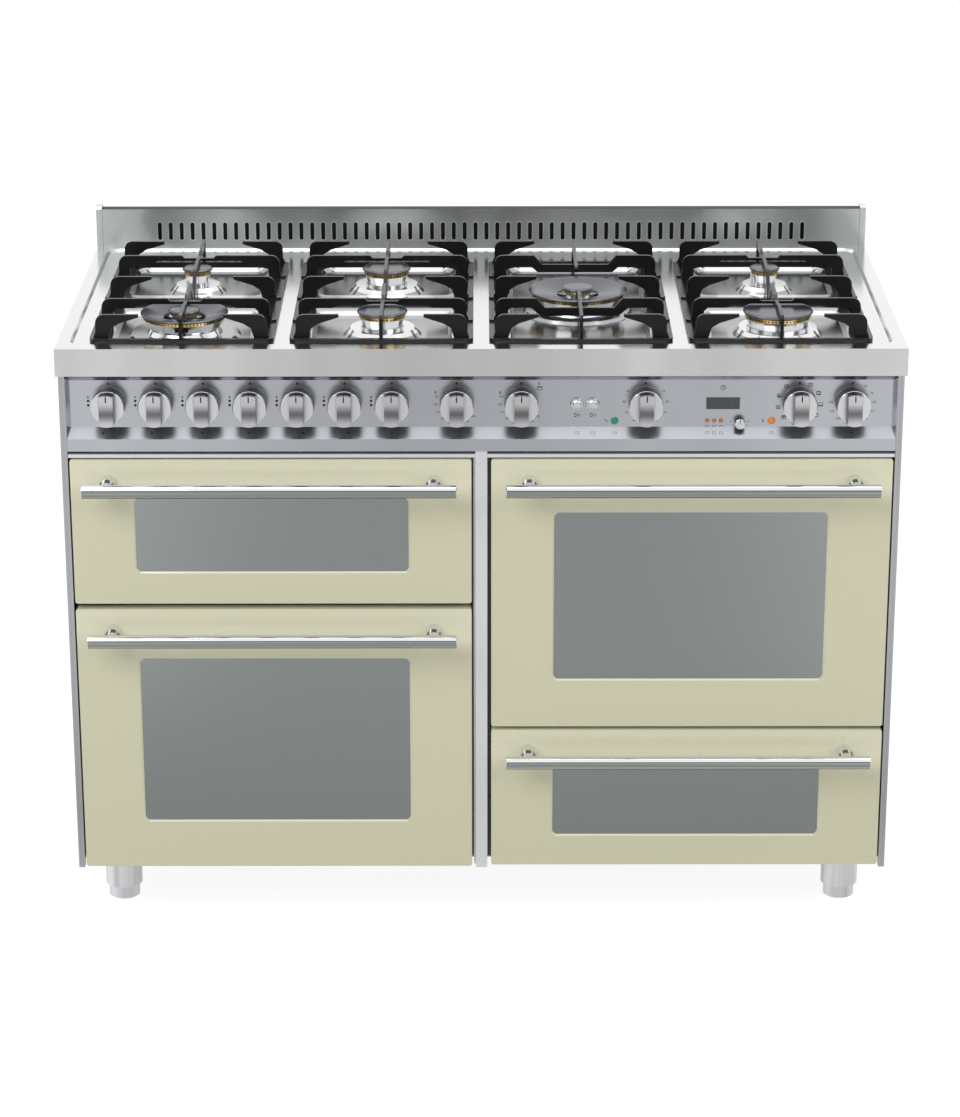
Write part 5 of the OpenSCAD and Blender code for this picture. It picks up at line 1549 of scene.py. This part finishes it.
@dataclass
class Studio:
    """Camera, lamps, world and pale floor."""

    camera_place: tuple[float, float, float] = (-2 * MM, -4829.6 * MM, 2197.3 * MM)
    camera_pitch: float = 0.3396
    camera_roll: float = -0.0009
    lens: float = 108.6
    floor_half: float = 14.0
    world_level: float = 0.42
    room_level: float = 0.12
    floor_white: float = 1.46
    floor_sheen_foot: float = 0.9
    floor_sheen_near: float = 0.4
    floor_sheen_far: float = 0.5
    floor_sheen_side: float = 0.9
    floor_reach_near: tuple[float, float] = (-0.7, -1.5)
    floor_reach_foot: tuple[float, float] = (-0.42, -0.56)
    floor_reach_side: tuple[float, float] = (0.3, 0.95)
    floor_grey: float = 0.84
    room_front: tuple[float, float] = (0.05, -0.35)
    room_foot: tuple[float, float] = (0.2, 0.25)
    room_top: tuple[float, float] = (0.58, 0.52)

    def build(self) -> None:
        """Builds the studio."""
        self.add_camera()
        for box in SOFT_BOXES:
            self.add_lamp(box)
        self.light_world()
        self.add_floor()
        bpy.context.scene.view_settings.view_transform = "Standard"

    def add_camera(self) -> None:
        """Places the camera at the photograph's angle and makes it the scene's own."""
        data = bpy.data.cameras.new("camera")
        data.lens = self.lens
        data.clip_end = 100.0
        camera = bpy.data.objects.new("camera", data)
        look = Matrix.Rotation(math.pi / 2 - self.camera_pitch, 4, "X") @ Matrix.Rotation(self.camera_roll, 4, "Z")
        camera.matrix_world = Matrix.Translation(self.camera_place) @ look
        bpy.context.scene.collection.objects.link(camera)
        bpy.context.scene.camera = camera

    def add_lamp(self, box: SoftBox) -> None:
        """Adds one soft lamp.

        Args:
            box: the lamp's place, aim, size and power.
        """
        data = bpy.data.lights.new(box.name, "AREA")
        data.shape = "RECTANGLE"
        data.size, data.size_y = box.width, box.height
        data.energy = box.power
        lamp = bpy.data.objects.new(box.name, data)
        lamp.location = box.place
        lamp.rotation_euler = (Vector(box.target) - Vector(box.place)).to_track_quat("-Z", "Y").to_euler()
        bpy.context.scene.collection.objects.link(lamp)

    def light_world(self) -> None:
        """Makes the world white where it is seen, reflected or looked through, and plainer where it lights."""
        world = bpy.data.worlds.new("studio world")
        world.use_nodes = True
        bpy.context.scene.world = world
        nodes = Shader(world.node_tree)
        path = nodes.add("ShaderNodeLightPath").outputs
        axes = nodes.add("ShaderNodeSeparateXYZ", {0: nodes.add("ShaderNodeTexCoord").outputs["Generated"]}).outputs
        front = nodes.ramp(axes["Y"], *self.room_front)
        low = nodes.math("MULTIPLY", front, nodes.ramp(axes["Z"], *reversed(self.room_foot)))
        dark = nodes.math("MULTIPLY", front, nodes.math("MULTIPLY", nodes.ramp(axes["Z"], *self.room_foot),
                                                        nodes.ramp(axes["Z"], *self.room_top)))
        mirrored = nodes.between(low, 1.0, self.floor_sheen_far)
        mirrored = nodes.between(dark, mirrored, self.room_level)
        strength = nodes.between(path["Is Glossy Ray"], self.world_level, mirrored)
        strength = nodes.between(nodes.math("MAXIMUM", path["Is Camera Ray"], path["Is Transmission Ray"]),
                                 strength, 1.0)
        back = nodes.add("ShaderNodeBackground", {"Color": (1.0, 1.0, 1.0, 1.0), "Strength": strength})
        nodes.add("ShaderNodeOutputWorld", {"Surface": back.outputs[0]})

    def add_floor(self) -> None:
        """Adds the pale floor, which looks white but keeps the cooker's shadow."""
        mesh = bmesh.new()
        bmesh.ops.create_grid(mesh, x_segments=1, y_segments=1, size=self.floor_half)
        data = bpy.data.meshes.new("floor")
        mesh.to_mesh(data)
        mesh.free()
        surface = bpy.data.materials.new("pale floor")
        surface.use_nodes = True
        nodes = Shader(surface.node_tree)
        path = nodes.add("ShaderNodeLightPath").outputs
        seen = nodes.math("MAXIMUM", path["Is Camera Ray"], path["Is Glossy Ray"])
        seen = nodes.math("MAXIMUM", seen, path["Is Transmission Ray"])
        axes = nodes.add("ShaderNodeSeparateXYZ", {0: nodes.add("ShaderNodeTexCoord").outputs["Object"]}).outputs
        aside = nodes.ramp(nodes.math("ABSOLUTE", axes["X"]), *self.floor_reach_side)
        mirrored = nodes.between(aside, self.floor_sheen_far, self.floor_sheen_side)
        mirrored = nodes.between(nodes.ramp(axes["Y"], *self.floor_reach_near), self.floor_sheen_near, mirrored)
        mirrored = nodes.between(nodes.ramp(axes["Y"], *self.floor_reach_foot), self.floor_sheen_foot, mirrored)
        strength = nodes.between(path["Is Glossy Ray"], self.floor_white, mirrored)
        matte = nodes.add("ShaderNodeBsdfDiffuse", {"Color": (*[self.floor_grey] * 3, 1.0)})
        white = nodes.add("ShaderNodeEmission", {"Color": (1.0, 1.0, 1.0, 1.0), "Strength": strength})
        share = nodes.math("MULTIPLY", seen, 0.6)
        mix = nodes.add("ShaderNodeMixShader", {0: share, 1: matte.outputs[0], 2: white.outputs[0]})
        nodes.add("ShaderNodeOutputMaterial", {"Surface": mix.outputs[0]})
        data.materials.append(surface)
        floor = bpy.data.objects.new("floor", data)
        bpy.context.scene.collection.objects.link(floor)


def corners(box: tuple[Vector, Vector]) -> list[list[float]]:
    """Turns a box into plain lists of numbers.

    Args:
        box: lowest and highest corner.

    Returns:
        The two corners.
    """
    return [[float(value) for value in corner] for corner in box]


def main() -> None:
    """Builds the studio and every sub-assembly."""
    logging.basicConfig(level=logging.INFO, format="%(message)s")
    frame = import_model()
    Studio().build()
    for kind in (Worktop, Burners, PanSupports, ControlPanel, Doors, Ovens, Cabinet):
        kind(frame).build()
        LOG.info("%s built", kind.__name__)
    bpy.context.view_layer.update()


if __name__ == "__main__":
    main()
